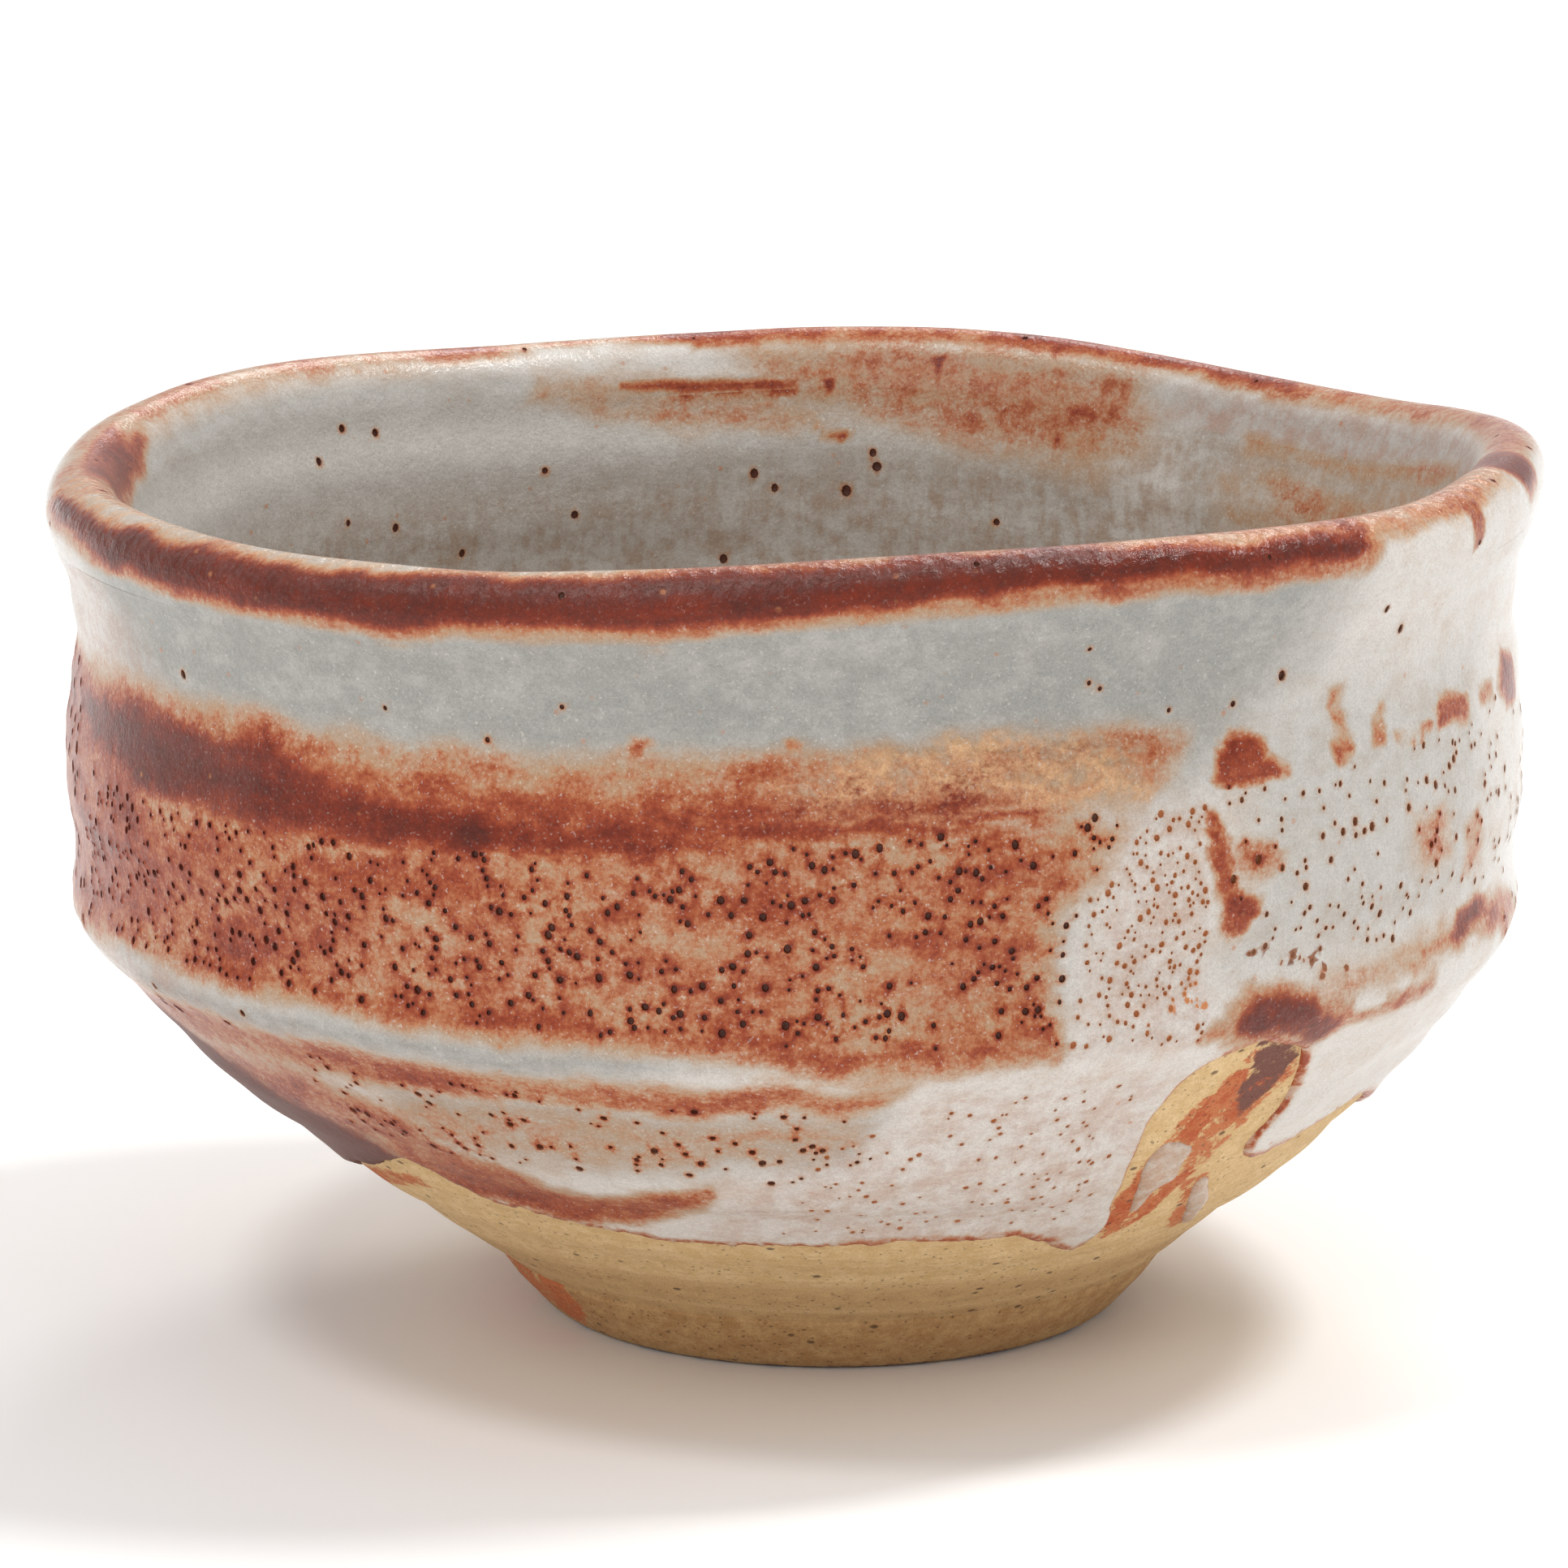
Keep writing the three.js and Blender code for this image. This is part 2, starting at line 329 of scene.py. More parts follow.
glazeEdge = [(-180, 17), (-160, 15.5), (-140, 13), (-122, 17.5), (-105, 15.5), (-92, 12.4), (-80, 12.9), (-70, 15.5),
             (-58, 18.2), (-50, 19.4), (-44.5, 21.7), (-41.5, 21.2), (-40.5, 19.4), (-36, 18.2), (-30, 17.6),
             (-20, 16.4), (-10, 16.1), (0, 16.2), (10, 16.5), (19, 16.3), (23.5, 15.8), (27, 14.4), (29.8, 13.6),
             (31.6, 14.0), (32.2, 16.2), (31.2, 19.0), (30.5, 22.0), (30.3, 26.0), (31.2, 29.5), (33.0, 32.4),
             (35.5, 34.0), (38.5, 34.4), (41.5, 33.8), (44.5, 32.2), (46.2, 29.0), (47.2, 26.6), (45.6, 24.4),
             (45.2, 22.2), (47.0, 20.7), (51, 21.0), (56, 22.4), (62, 24.2), (69, 22.5), (76, 19.8), (84, 16.6),
             (92, 13.2), (104, 14.5), (118, 16.5), (134, 13.5), (150, 13), (166, 17), (180, 17)]

# Each patch: strength, softness in mm, outline. Over the lip, a height goes on counting down the inside.
ironPatches = [
    # the lip
    (0.52, 1.0, [(-80, 72.0), (-60, 70.6), (-30, 70.0), (0, 70.4), (30, 71.0), (45, 71.4), (47, 73.0), (47, 76.4),
                 (12, 76.6), (0, 75.2), (-80, 75.0)]),
    # A paler crest along the top of the lip: partly thin glaze breaking lighter over the edge, partly a painted
    # highlight.
    (0.18, 0.8, [(-80, 75), (12, 75.2), (12, 76.8), (-80, 76.6)]),
    (0.92, 0.9, [(-78, 73.0), (-60, 71.4), (-30, 70.7), (0, 71.1), (24, 72.2), (44, 72.4), (45.5, 73), (45.5, 74.6),
                 (0, 75.3), (-40, 74.8), (-78, 74.6)]),
    (1.00, 0.7, [(-72, 73.5), (-40, 72.9), (0, 73.2), (22, 73.8), (20, 74.8), (0, 74.9), (-20, 74.3), (-40, 74.1),
                 (-72, 74.3)]),
    (0.42, 0.8, [(46, 73.3), (56, 73.5), (69, 74.3), (70, 76.6), (46, 76.6)]),
    (0.58, 0.45, [(58.3, 74.6), (61, 74.2), (60.8, 71), (59.9, 70.2), (59, 72.6)]),
    (0.82, 1.2, [(68.0, 76.8), (71, 73.4), (72.6, 71.6), (75.5, 72.7), (78, 75), (80, 76.8)]),
    (0.46, 1.0, [(68, 74), (100, 73.8), (133, 73.6), (133, 76.2), (80, 76.2)]),
    (0.78, 0.9, [(130, 73.2), (146, 72.8), (163, 73), (163, 75.4), (130, 75.6)]),
    (0.56, 0.9, [(155, 73), (181, 73), (190, 73), (190, 75.8), (155, 76.2)]),
    (0.78, 0.8, [(181, 73), (200, 72.4), (212, 72.8), (213, 75.2), (181, 75.2)]),
    (0.42, 1.0, [(204, 73.8), (250, 74), (288, 74), (288, 76.4), (204, 75.8)]),
    (0.78, 1.6, [(255, 75.6), (266, 75), (278, 75.4), (282, 77.4), (272, 79.2), (261, 78.4)]),
    # the belt at the waist
    (0.44, 2.2, [(-70, 61.4), (-45, 61.6), (-20, 61.0), (0, 60.6), (12, 60.7), (24, 60.4), (30, 60.2), (28, 57),
                 (26, 54.6), (0, 54.2), (-20, 53.5), (-68, 52)]),
    (0.62, 1.8, [(-66, 60.2), (-45, 60.6), (-25, 58.6), (-8, 57.4), (6, 57.2), (22, 57.4), (26, 55.2), (0, 54),
                 (-20, 53), (-66, 52)]),
    (0.88, 2.2, [(-80, 58.4), (-55, 60.0), (-42, 59.6), (-30, 57), (-20, 55.4), (-10, 54.8), (-9, 52.6), (-24, 51.8),
                 (-45, 51.4), (-60, 51.8), (-72, 54)]),
    (0.98, 2.0, [(-62, 57.4), (-52, 58.0), (-43, 57.6), (-38, 55), (-41, 53), (-56, 53.4)]),
    (0.97, 1.2, [(-30, 54.2), (-22, 54.2), (-18, 53.4), (-18, 52.4), (-27, 52), (-31, 53)]),
    (0.72, 0.8, [(-22, 55.4), (-10, 55.6), (-2, 55.3), (10, 54.9), (20, 55.0), (21, 54.3), (10, 53.9), (-2, 53.4),
                 (-8, 52.6), (-22, 51.6)]),
    (0.76, 0.5, [(33.6, 60.2), (36, 59.9), (38.4, 56.9), (38.8, 56.0), (32.5, 56.0), (32.3, 57.4)]),
    (0.72, 0.5, [(43, 57.3), (46.5, 57.5), (46.3, 56.1), (43.5, 56)]),
    (0.46, 0.6, [(44.6, 61.6), (45.8, 61.6), (46.1, 57), (44.5, 57)]),
    (0.60, 0.6, [(49.4, 58.2), (50.4, 60.6), (51.1, 56.4), (48.9, 56.3)]),
    (0.52, 0.6, [(52.5, 57.1), (58, 57.2), (58, 56.2), (52.5, 56)]),
    (0.66, 0.7, [(58.6, 57.8), (61.5, 58.6), (63.6, 57.6), (63.4, 55.9), (59, 55.8)]),
    (0.58, 0.7, [(66.4, 57.6), (69.4, 57.3), (69.4, 56), (67, 56)]),
    (0.85, 0.9, [(70.6, 57), (73, 59.4), (75.4, 58.8), (78, 54.6), (75, 54.6), (72, 56)]),
    (0.60, 2.6, [(92, 59), (120, 60), (150, 59), (184, 60), (215, 59), (250, 60), (292, 59.6), (292, 53),
                 (250, 53.4), (205, 55), (165, 54), (125, 56), (98, 54)]),
    (0.85, 2.4, [(210, 58), (240, 58.6), (282, 58), (286, 54), (250, 54.6), (222, 55.4)]),
    # the brown veil over the pinholed field
    (0.47, 1.6, [(-80, 52), (-30, 52.6), (0, 54), (24.6, 54), (22.6, 50), (20, 47), (19.0, 44), (19.2, 38),
                 (19.2, 35.8), (10, 34.2), (0, 34.8), (-8, 36.8), (-40, 37.2), (-62, 37.8), (-82, 43)]),
    (0.58, 2.6, [(-76, 50), (-42, 50.4), (-34, 44), (-38, 38), (-74, 40)]),
    (0.56, 2.0, [(-60, 52), (-20, 52), (-6, 50.4), (-20, 47.6), (-40, 46.6), (-66, 45)]),
    (0.62, 1.8, [(-52, 40.4), (-20, 40.0), (0, 38.4), (10, 38.4), (18.8, 38.8), (18.9, 35), (8, 34.0), (-5, 36.2),
                 (-30, 37.0), (-54, 37.4)]),
    (0.60, 2.2, [(3, 47.8), (14, 48.8), (19, 47.2), (18.6, 43.4), (10, 43), (2, 45)]),
    (0.70, 2.0, [(-50, 44), (-44, 46), (-41, 42), (-43, 39), (-50, 39)]),
    (0.64, 0.6, [(31.4, 54), (32.5, 54), (33.0, 50), (33.9, 47.6), (35.6, 46.8), (36.0, 45), (34.4, 42.8),
                 (33.4, 44), (32.3, 47), (31.5, 50)]),
    (0.34, 1.2, [(33, 52), (37, 51.6), (39, 49), (36, 47.6), (33.6, 48)]),
    (0.44, 2.6, [(214, 47), (228, 50.5), (262, 51), (290, 50), (290, 38), (250, 37), (232, 38.5), (222, 42)]),
    (0.40, 2.7, [(104, 45), (122, 49), (150, 50), (176, 48), (192, 44), (180, 40), (160, 37.6), (140, 37),
                 (120, 39.5)]),
    # the cone below the hip
    (0.56, 1.4, [(-70, 34.2), (-40, 33.8), (-15, 33.8), (0, 33.6), (9, 34.0), (6, 31.4), (-10, 30.9), (-35, 30.6),
                 (-70, 29.6)]),
    (0.50, 2.0, [(-70, 30.6), (-44, 30.6), (-36, 28), (-34, 24), (-44, 20.4), (-56, 21)]),
    (0.30, 2.6, [(-50, 30.6), (-46, 24), (-30, 23.5), (-8, 24.8), (5, 28), (5, 30.6)]),
    (0.62, 1.2, [(-44, 26.0), (-38, 25.0), (-30, 23.8), (-26, 21.6), (-20, 21.2), (-14, 22.4), (-8, 23), (-10, 20.8),
                 (-18, 18.6), (-28, 17.7), (-36, 18.0), (-44, 20)]),
    (0.40, 2.7, [(188, 28), (206, 32), (230, 33), (280, 32), (290, 27), (282, 22), (255, 21.5), (238, 19.5),
                 (212, 22.5)]),
    # The dark wedge low on the left, in full iron: a real scorch, made darker still as painted shade.
    (1.0, 1.4, [(-66, 31.0), (-59, 28.0), (-52, 25.6), (-43.6, 21.2), (-47, 18.6), (-60, 14.5), (-78, 12), (-104, 11),
                (-121, 12.6), (-110, 16.6), (-102, 16.8), (-95, 20.6), (-88, 21.2), (-83, 25.2), (-76, 26.8),
                (-72, 30.0)]),
    # Dark iron over the far left of the wall: partly the glaze's own colour, partly painted shade on that side.
    (0.66, 2.8, [(-130, 53), (-114, 57.5), (-92, 60), (-66, 60.4), (-58, 52), (-54, 40), (-72, 37), (-98, 36.8),
                 (-110, 39), (-122, 42.6), (-113, 46), (-118, 50)]),
    # beside the notch and out to the right
    (0.80, 0.6, [(34.4, 36.2), (36, 37.9), (38.5, 38.3), (41, 37.6), (43, 36.7), (45, 36.1), (46.0, 34.8), (45, 33.2),
                 (42.5, 33.6), (40, 34.6), (37.5, 34.6), (35, 34.8)]),
    (0.45, 1.0, [(33.4, 37.2), (36, 39.2), (39, 39.5), (43, 38.4), (47, 37.2), (48, 34), (44, 33), (34, 34)]),
    (0.46, 0.6, [(30.4, 35.2), (32, 36.6), (34.6, 37), (35, 35.2), (32.6, 34.4)]),
    (0.44, 0.8, [(46, 35.5), (50, 35.4), (54, 36.6), (57, 36.3), (57, 34.7), (52, 33.9), (47, 33.9)]),
    (0.52, 0.8, [(51, 37.6), (55, 38.8), (60, 39.3), (60, 37.6), (55, 37.6)]),
    (0.86, 0.9, [(60, 39.4), (62, 40.2), (66, 41.2), (68.6, 40), (66, 38.6), (62, 37.6), (60, 37.6)]),
    (0.54, 1.2, [(69, 41), (72, 40.6), (77, 38.4), (85, 36.4), (93, 34), (93, 31.4), (84, 32.4), (76, 34.6),
                 (70, 37.6), (65, 36.6), (66, 38)]),
    (0.30, 1.8, [(40, 39), (46, 40), (60, 41), (70, 41), (66, 38), (50, 36.6)]),
    (0.30, 1.8, [(52, 51), (58, 50.6), (60, 45), (54, 45)]),
    (0.34, 1.4, [(62, 48), (66, 49), (67, 44), (63, 43)]),
    # lone rust spots
    (0.55, 0.5, [(-12.4, 62), (-11.2, 62), (-11, 60.9), (-12.4, 60.8)]),
    (0.5, 0.5, [(-0.6, 61.2), (0.8, 61.2), (0.8, 60.3), (-0.6, 60.4)]),
    (0.5, 0.4, [(-29, 61), (-28, 61.2), (-27.8, 60.4), (-29, 60.4)]),
]

# The same inside, with the height itself
innerIronPatches = [
    (0.46, 4.4, [(186, 74.5), (160, 75), (146, 74.5), (145, 68), (150, 64), (162, 65), (172, 67), (182, 69.5)]),
    (0.52, 2.6, [(168, 70.2), (158, 72.4), (147, 71.4), (149, 68.4), (158, 67.2)]),
    (0.74, 0.6, [(197, 71.7), (188, 71.3), (180, 71.0), (180, 69.9), (190, 70.2), (197, 70.8)]),
    (0.32, 2.0, [(205, 73), (180, 71), (176, 66), (190, 66), (206, 70)]),
    (0.46, 1.5, [(134, 70.6), (120, 69.6), (104, 70.6), (92, 71.6), (92, 70), (110, 68.2), (134, 68.8)]),
    (0.34, 1.6, [(132, 68), (112, 67), (110, 63), (128, 63)]),
    # A faint iron wash on the right of the inside: partly the glaze's own colour, partly painted shade.
    (0.26, 3.4, [(136, 67), (84, 70.5), (82, 57), (136, 56)]),
    (0.78, 1.6, [(264, 72.4), (273, 71.8), (281, 75.6), (256, 76)]),
    (0.30, 2.0, [(215, 75), (262, 75), (262, 72.6), (215, 73.4)]),
    (0.8, 0.35, [(167, 72.8), (165.6, 73.4), (166, 71.6), (166.8, 71.6)]),
    (0.8, 0.35, [(178, 71), (176.6, 71), (176.6, 69.6), (177.6, 69.6)]),
    (0.8, 0.35, [(177.6, 66.6), (174.4, 65.6), (174.6, 65), (177.8, 65.8)]),
    (0.8, 0.35, [(154.6, 68.6), (154, 68.8), (153.6, 66.6), (154.4, 66.6)]),
]
innerBarePatches = [(1.0, 1.0, [(206, 75), (200, 73.4), (182, 72.6), (181, 71.2), (198, 71.8), (208, 73.4)]),
                    (0.55, 3.4, [(147, 71.5), (140, 70.0), (139, 60), (148, 60)])]

ashPatches = [
    (1.0, 6.0, [(-66, 76), (44, 76), (42, 64), (30, 56), (0, 53), (-64, 58)]),
    (0.8, 3.0, [(-64, 54), (22, 54), (18, 36), (-64, 36)]),
    (0.95, 1.2, [(-60, 36.6), (-4, 36.4), (-12, 34), (-62, 34)]),
    (0.95, 2.5, [(-36, 31), (6, 31), (4, 26.5), (-8, 25), (-26, 24.6), (-36, 26)]),
    (0.5, 5.0, [(34, 62), (66, 62), (66, 40), (34, 40)]),
    (0.6, 4.0, [(110, 72), (280, 72), (280, 40), (110, 40)]),
]

blushPatches = [
    (0.6, 5.0, [(-110, 71), (-65, 71), (-58, 62), (-52, 50), (-52, 38), (-56, 30), (-110, 30)]),
    (0.9, 2.5, [(-70, 36), (-40, 34), (-40, 20), (-60, 18), (-80, 20)]),
    (0.55, 3.5, [(-14, 17), (31, 12), (31, 33), (12, 33.6), (0, 28), (-8, 22)]),
    (0.6, 3.0, [(20, 35), (32, 35), (31, 54), (24, 54)]),
    (0.35, 5.0, [(150, 34), (250, 34), (250, 14), (150, 14)]),
]

# Brown-grey low down all round the inside and on its right: partly the glaze's own colour, partly painted shade.
innerBlushAndShadePatches = [(0.9, 5.0, [(20, 63), (90, 69), (150, 66), (205, 62), (280, 60), (380, 63), (380, 20), (20, 20)]),
                     (0.8, 3.0, [(84, 76), (136, 74), (150, 70), (150, 56), (84, 56)])]

scorchPatches = [
    (0.72, 0.6, [(35, 36.2), (36.4, 37.7), (38.5, 38.1), (41, 37.2), (43, 36.3), (45, 35.7), (45.8, 34.6), (44.4, 33),
                (42.5, 33.4), (40, 34.4), (37.5, 34.8), (35.4, 35.2)]),
    (0.7, 0.7, [(-74, 73.7), (-40, 73.3), (0, 73.6), (24, 73.9), (25, 74.9), (0, 75.0), (-40, 74.3), (-74, 74.3)]),
    (1.0, 1.6, [(-66, 31.5), (-59, 28.4), (-52, 26), (-43.4, 21.4), (-47, 18.6), (-60, 14.5), (-78, 12), (-100, 11.4),
                (-112, 13.6), (-104, 15.8), (-96, 16.4), (-91, 20), (-84, 21), (-80, 24.6), (-74, 27), (-70, 30.2)]),
    (0.6, 0.9, [(61, 39.2), (64, 40), (66.6, 40.4), (65, 39), (62, 38.2)]),
    (0.6, 0.8, [(71.6, 76), (72.4, 73), (75, 73.4), (76, 76)]),
    (0.5, 1.6, [(-62, 58.6), (-48, 59), (-44, 56), (-44, 52.6), (-60, 53)]),
    (0.6, 1.2, [(205, 30), (216, 27), (214, 18), (204, 19)]),
]

crawlPatches = [(1.0, 1.2, [(-1, 57.4), (4, 59.2), (12, 60.4), (20, 60.2), (25.4, 58), (26, 55.4), (8, 55.2),
                            (-1, 55.4)]),
                (0.35, 0.9, [(-80, 73), (70, 73), (70, 76.6), (-80, 76.6)])]

# Pinholes: number on each square mm, smallest and largest radius, how dark, and where
pinholeFields = [
    (0.38, 0.14, 0.34, 1.0, [(-74, 38), (-72, 51.4), (-40, 51.6), (-10, 52.6), (26, 54.4), (24, 50), (20, 46),
                             (19.8, 36.8), (-5, 37.6), (-40, 38.2)]),
    (1.05, 0.12, 0.29, 0.08, [(20.4, 36.4), (32, 35.8), (31.4, 54.4), (27, 54), (21.6, 48)]),
    (0.24, 0.15, 0.36, 0.7, [(33, 40), (44, 38.6), (62, 42), (72, 42), (72, 56.4), (33, 55.6)]),
    (0.09, 0.2, 0.42, 0.5, [(72, 36), (102, 36), (102, 56), (72, 56)]),
    (0.26, 0.15, 0.36, 0.95, [(-45, 24.6), (4, 24.6), (8, 31.6), (-45, 33)]),
    (0.26, 0.12, 0.26, 0.0, [(-6, 18), (27, 18), (28, 33), (6, 33)]),
    (0.016, 0.2, 0.42, 1.0, [(-68, 61), (58, 61), (58, 71.6), (-68, 71.6)]),
    (0.10, 0.3, 0.55, 0.8, [(-102, 36), (-74, 36), (-74, 60), (-102, 60)]),
    (0.07, 0.3, 0.5, 1.0, [(-64, 33), (-46, 33), (-46, 38), (-64, 38)]),
    (0.06, 0.2, 0.5, 0.8, [(102, 37), (180, 37), (180, 57), (102, 57)]),
    (0.07, 0.2, 0.5, 0.9, [(-180, 37), (-102, 37), (-102, 57), (-180, 57)]),
]


# Inside: angle, height, radius
innerPinholes = [(227, 69, 0.4), (223, 68.3, 0.4), (205, 64, 0.34), (202, 59.8, 0.42), (184, 62.6, 0.42), (182, 61.2, 0.36),
                 (172, 63, 0.5), (175, 60.8, 0.5), (187, 54.8, 0.42), (172.4, 64.2, 0.36), (231, 66.5, 0.4),
                 (222, 60, 0.4), (228, 61, 0.3), (160, 58.6, 0.35), (214, 57, 0.35), (130, 61, 0.4), (118, 58, 0.36),
                 (250, 60, 0.4), (100, 62, 0.4), (20, 60, 0.4), (-20, 63, 0.4), (60, 58, 0.35), (-50, 57, 0.4)]


def scatterPinholes(rng, fields, alongOf, avoid):
    holes = []
    for density, small, large, dark, outline in fields:
        polygon = np.array(outline, float)
        flat = polygon * [mmPerDegree, 1]
        x, y = flat.T
        area = abs(np.dot(x, np.roll(y, -1)) - np.dot(y, np.roll(x, -1))) / 2
        wanted, made, tries = int(area * density), 0, 0
        low, high = polygon.min(0), polygon.max(0)
        while made < wanted and tries < wanted * 30:
            tries += 1
            spot = low + (high - low) * rng.random(2)
            radius = small + (large - small) * rng.random() ** 1.7
            if not insidePolygon(spot[None, :], polygon)[0]:
                continue
            s = float(alongOf(spot[1]))
            here = np.array([spot[0] * mmPerDegree, s])
            if holes:
                old = np.array([(h["angle"] * mmPerDegree, h["s"], h["radius"]) for h in holes])
                if (np.linalg.norm(old[:, :2] - here, axis=1) < (old[:, 2] + radius) * 1.12).any():
                    continue
            if avoid(here) < radius * 2.2 + 0.4:
                continue
            holes.append({"angle": float(spot[0]), "s": s, "radius": float(radius), "dark": dark})
            made += 1
    return holes


# ---------- a coat of glaze as a closed shell, fine on top and coarse underneath ----------

def fineness(angle):
    return 1.0 if -98 < angle < 100 else 1.9


def rowPoints(s, step, low=-180.0, high=180.0):
    r = float(sectionAt(s)[0])
    degrees = np.arange(low, high, 0.25)
    density = np.array([1 / (step * fineness(a)) for a in degrees]) * math.radians(0.25) * max(r, 0.5)
    total = np.concatenate([[0], np.cumsum(density)])
    count = max(int(total[-1]), 5)
    offset = 0.5 * (int(s / step) % 2)
    return np.interp((np.arange(count) + 0.25 + offset) / count * total[-1], total, np.append(degrees, high))


beadWidth = 0.9  # of the rounded edge where a coat ends


# How thick a coat is at a distance from where it ends: a low bead, then thin, then full
def coatThickness(distance, coat):
    share = np.clip(distance / beadWidth, 0, 1)
    bead = np.sqrt(np.clip(1 - (1 - share) ** 2, 0, 1))
    thick = coat * bead * (0.42 + 0.58 * smoothStep(distance, 2.0, 11.0))
    return thick + 0.12 * np.exp(-((distance - 1.2) / 0.8) ** 2) * bead


# Turns the outline of a coat, as (angle, mm along the section), into a closed shell.
# edge is the part of the outline where the glaze ends in a rounded bead.
def glazeShell(name, outline, sides, edge, edgeClosed, inner, coat, holes=(), relief=None, underStep=4.0):
    polygon = outline * [mmPerDegree, 1]
    flatEdge = edge * [mmPerDegree, 1]
    flatInner = inner * [mmPerDegree, 1]
    count = len(polygon)
    edgeTop = flatEdge[:, 1].max()
    turning = 1 if insidePolygon(flatEdge[:1] + [0, 1e-4], polygon)[0] or not edgeClosed else 1

    def fromEdge(points, reach=4.0):
        distance = np.full(len(points), 99.0)
        near = points[:, 1] < edgeTop + reach
        distance[near] = lineDistance(points[near], flatEdge, closed=edgeClosed)
        return distance

    d = (np.roll(flatEdge, -1, axis=0) - np.roll(flatEdge, 1, axis=0)) if edgeClosed else np.gradient(flatEdge, axis=0)
    sideways = np.stack([-d[:, 1], d[:, 0]], 1) / np.linalg.norm(d, axis=1)[:, None] * turning
    rings = []
    for offset in (0.12, 0.3, 0.55, 0.95):
        ring = flatEdge + sideways * offset
        keep = fromEdge(ring) > offset * 0.93
        rings.append(ring[keep & (np.abs(ring[:, 0]) < 179.5 * mmPerDegree)])
    flatInner = flatInner[fromEdge(flatInner) > 1.45]
    if len(holes):
        tree = kdtree.KDTree(len(holes))
        for i, h in enumerate(holes):
            tree.insert((h["angle"] * mmPerDegree, h["s"], 0), i)
        tree.balance()
        keep = []
        for p in flatInner:
            _, i, distance = tree.find((p[0], p[1], 0))
            keep.append(distance > holes[i]["radius"] * 2.1 + 0.25)
        flatInner = flatInner[np.array(keep)]
        for h in holes:
            wide = (180 / math.pi) * mmPerDegree / float(sectionAt(h["s"])[0])
            for reach, number in ((1.4, 8), (2.2, 5)):
                turn = np.arange(number) / number * 2 * math.pi + h["s"]
                rings.append(np.stack([h["angle"] * mmPerDegree + np.cos(turn) * h["radius"] * reach * wide,
                                       h["s"] + np.sin(turn) * h["radius"] * reach], 1))
    extra = np.vstack([flatInner, *rings])
    extra = extra[(extra[:, 1] > edgeTop + 0.2) * (not edgeClosed) * (extra[:, 1] < polygon[:, 1].max() - 0.15)
                  | insidePolygon(extra, polygon)]

    def mesh2d(points):
        out = delaunay_2d_cdt([Vector(p) for p in points], [], [list(range(count))], 1, 1e-5)
        where = {}
        for new, olds in enumerate(out[3]):
            for old in olds:
                where[old] = new
        return np.array([tuple(v) for v in out[0]]), [list(f) for f in out[2]], where

    topVerts, topFaces, topWhere = mesh2d(np.vstack([polygon, extra]))
    grid = []
    for s in np.arange(polygon[:, 1].min() + underStep / 2, polygon[:, 1].max() - 1, underStep):
        row = rowPoints(s, underStep)
        grid.append(np.stack([row * mmPerDegree, np.full(len(row), s)], 1))
    grid = np.vstack(grid) if grid else np.zeros((0, 2))
    grid = grid[insidePolygon(grid, polygon)]
    grid = grid[lineDistance(grid, polygon, closed=True) > 1.0]
    underVerts, underFaces, underWhere = mesh2d(np.vstack([polygon, grid]))

    def lift(flat, height, bumps=None):
        angle, s = flat[:, 0] / mmPerDegree, flat[:, 1]
        r, z, nr, nz = sectionAt(s)
        base = place(r, z, angle)
        height = height + thrownWaves(angle, s, base)
        if bumps:
            height = height + bumps(angle, s, base)
        return place(np.maximum(r + nr * height, 0), z + nz * height, angle)

    distance = fromEdge(topVerts, 13.0)
    thick = coatThickness(distance, coat)
    if len(holes):
        # a low raised lip round each pinhole, where its bubble burst
        for k, p in enumerate(topVerts):
            _, i, away = tree.find((p[0], p[1], 0))
            reach = away / holes[i]["radius"]
            if reach < 2.6:
                thick[k] += 0.07 * math.exp(-((reach - 1.3) / 0.45) ** 2)
    thick = np.where(distance < 1e-3, -0.04, thick)
    topPlaces = lift(topVerts, thick, relief)
    underPlaces = lift(underVerts, np.full(len(underVerts), -0.5))
    faces = topFaces + [[i + len(topVerts) for i in reversed(f)] for f in underFaces]
    for k in range(count):
        if sides[k]:
            continue
        a, b = k, (k + 1) % count
        faces.append([topWhere[b], topWhere[a], underWhere[a] + len(topVerts), underWhere[b] + len(topVerts)])
    obj = meshObject(name, np.vstack([topPlaces, underPlaces]), faces)
    weld(obj)
    return obj


# Evenly scattered points over a band of the section, denser in one region
def scatterRows(low, high, step, rng, denser=()):
    rows = []
    for s in np.arange(low, high - step * 0.4, step * 0.87):
        row = rowPoints(s, step)
        rows.append(np.stack([row, np.full(len(row), s)], 1))
    points = np.vstack(rows)
    points += rng.uniform(-0.12, 0.12, points.shape) * step
    points = points[np.abs(points[:, 0]) < 180 - 0.6 * step]
    for region, fine in denser:
        region = np.array(region, float)
        region[:, 1] = alongOutside(region[:, 1])
        boxLow, boxHigh = region.min(0), region.max(0)
        gx, gy = np.meshgrid(np.arange(boxLow[0], boxHigh[0], fine / mmPerDegree),
                             np.arange(boxLow[1], boxHigh[1], fine))
        gx[1::2] += fine / mmPerDegree / 2
        extra = np.stack([gx.ravel(), gy.ravel()], 1)
        extra = extra[insidePolygon(extra, region)]
        points = np.vstack([points[~insidePolygon(points, region)], extra])
    return points


# ---------- Geometry Nodes: sink the pinholes into a coat ----------

pinholeSizes = {"Depth": 1.15, "Sunk": 0.12, "Sides": 8, "Steps": 4}


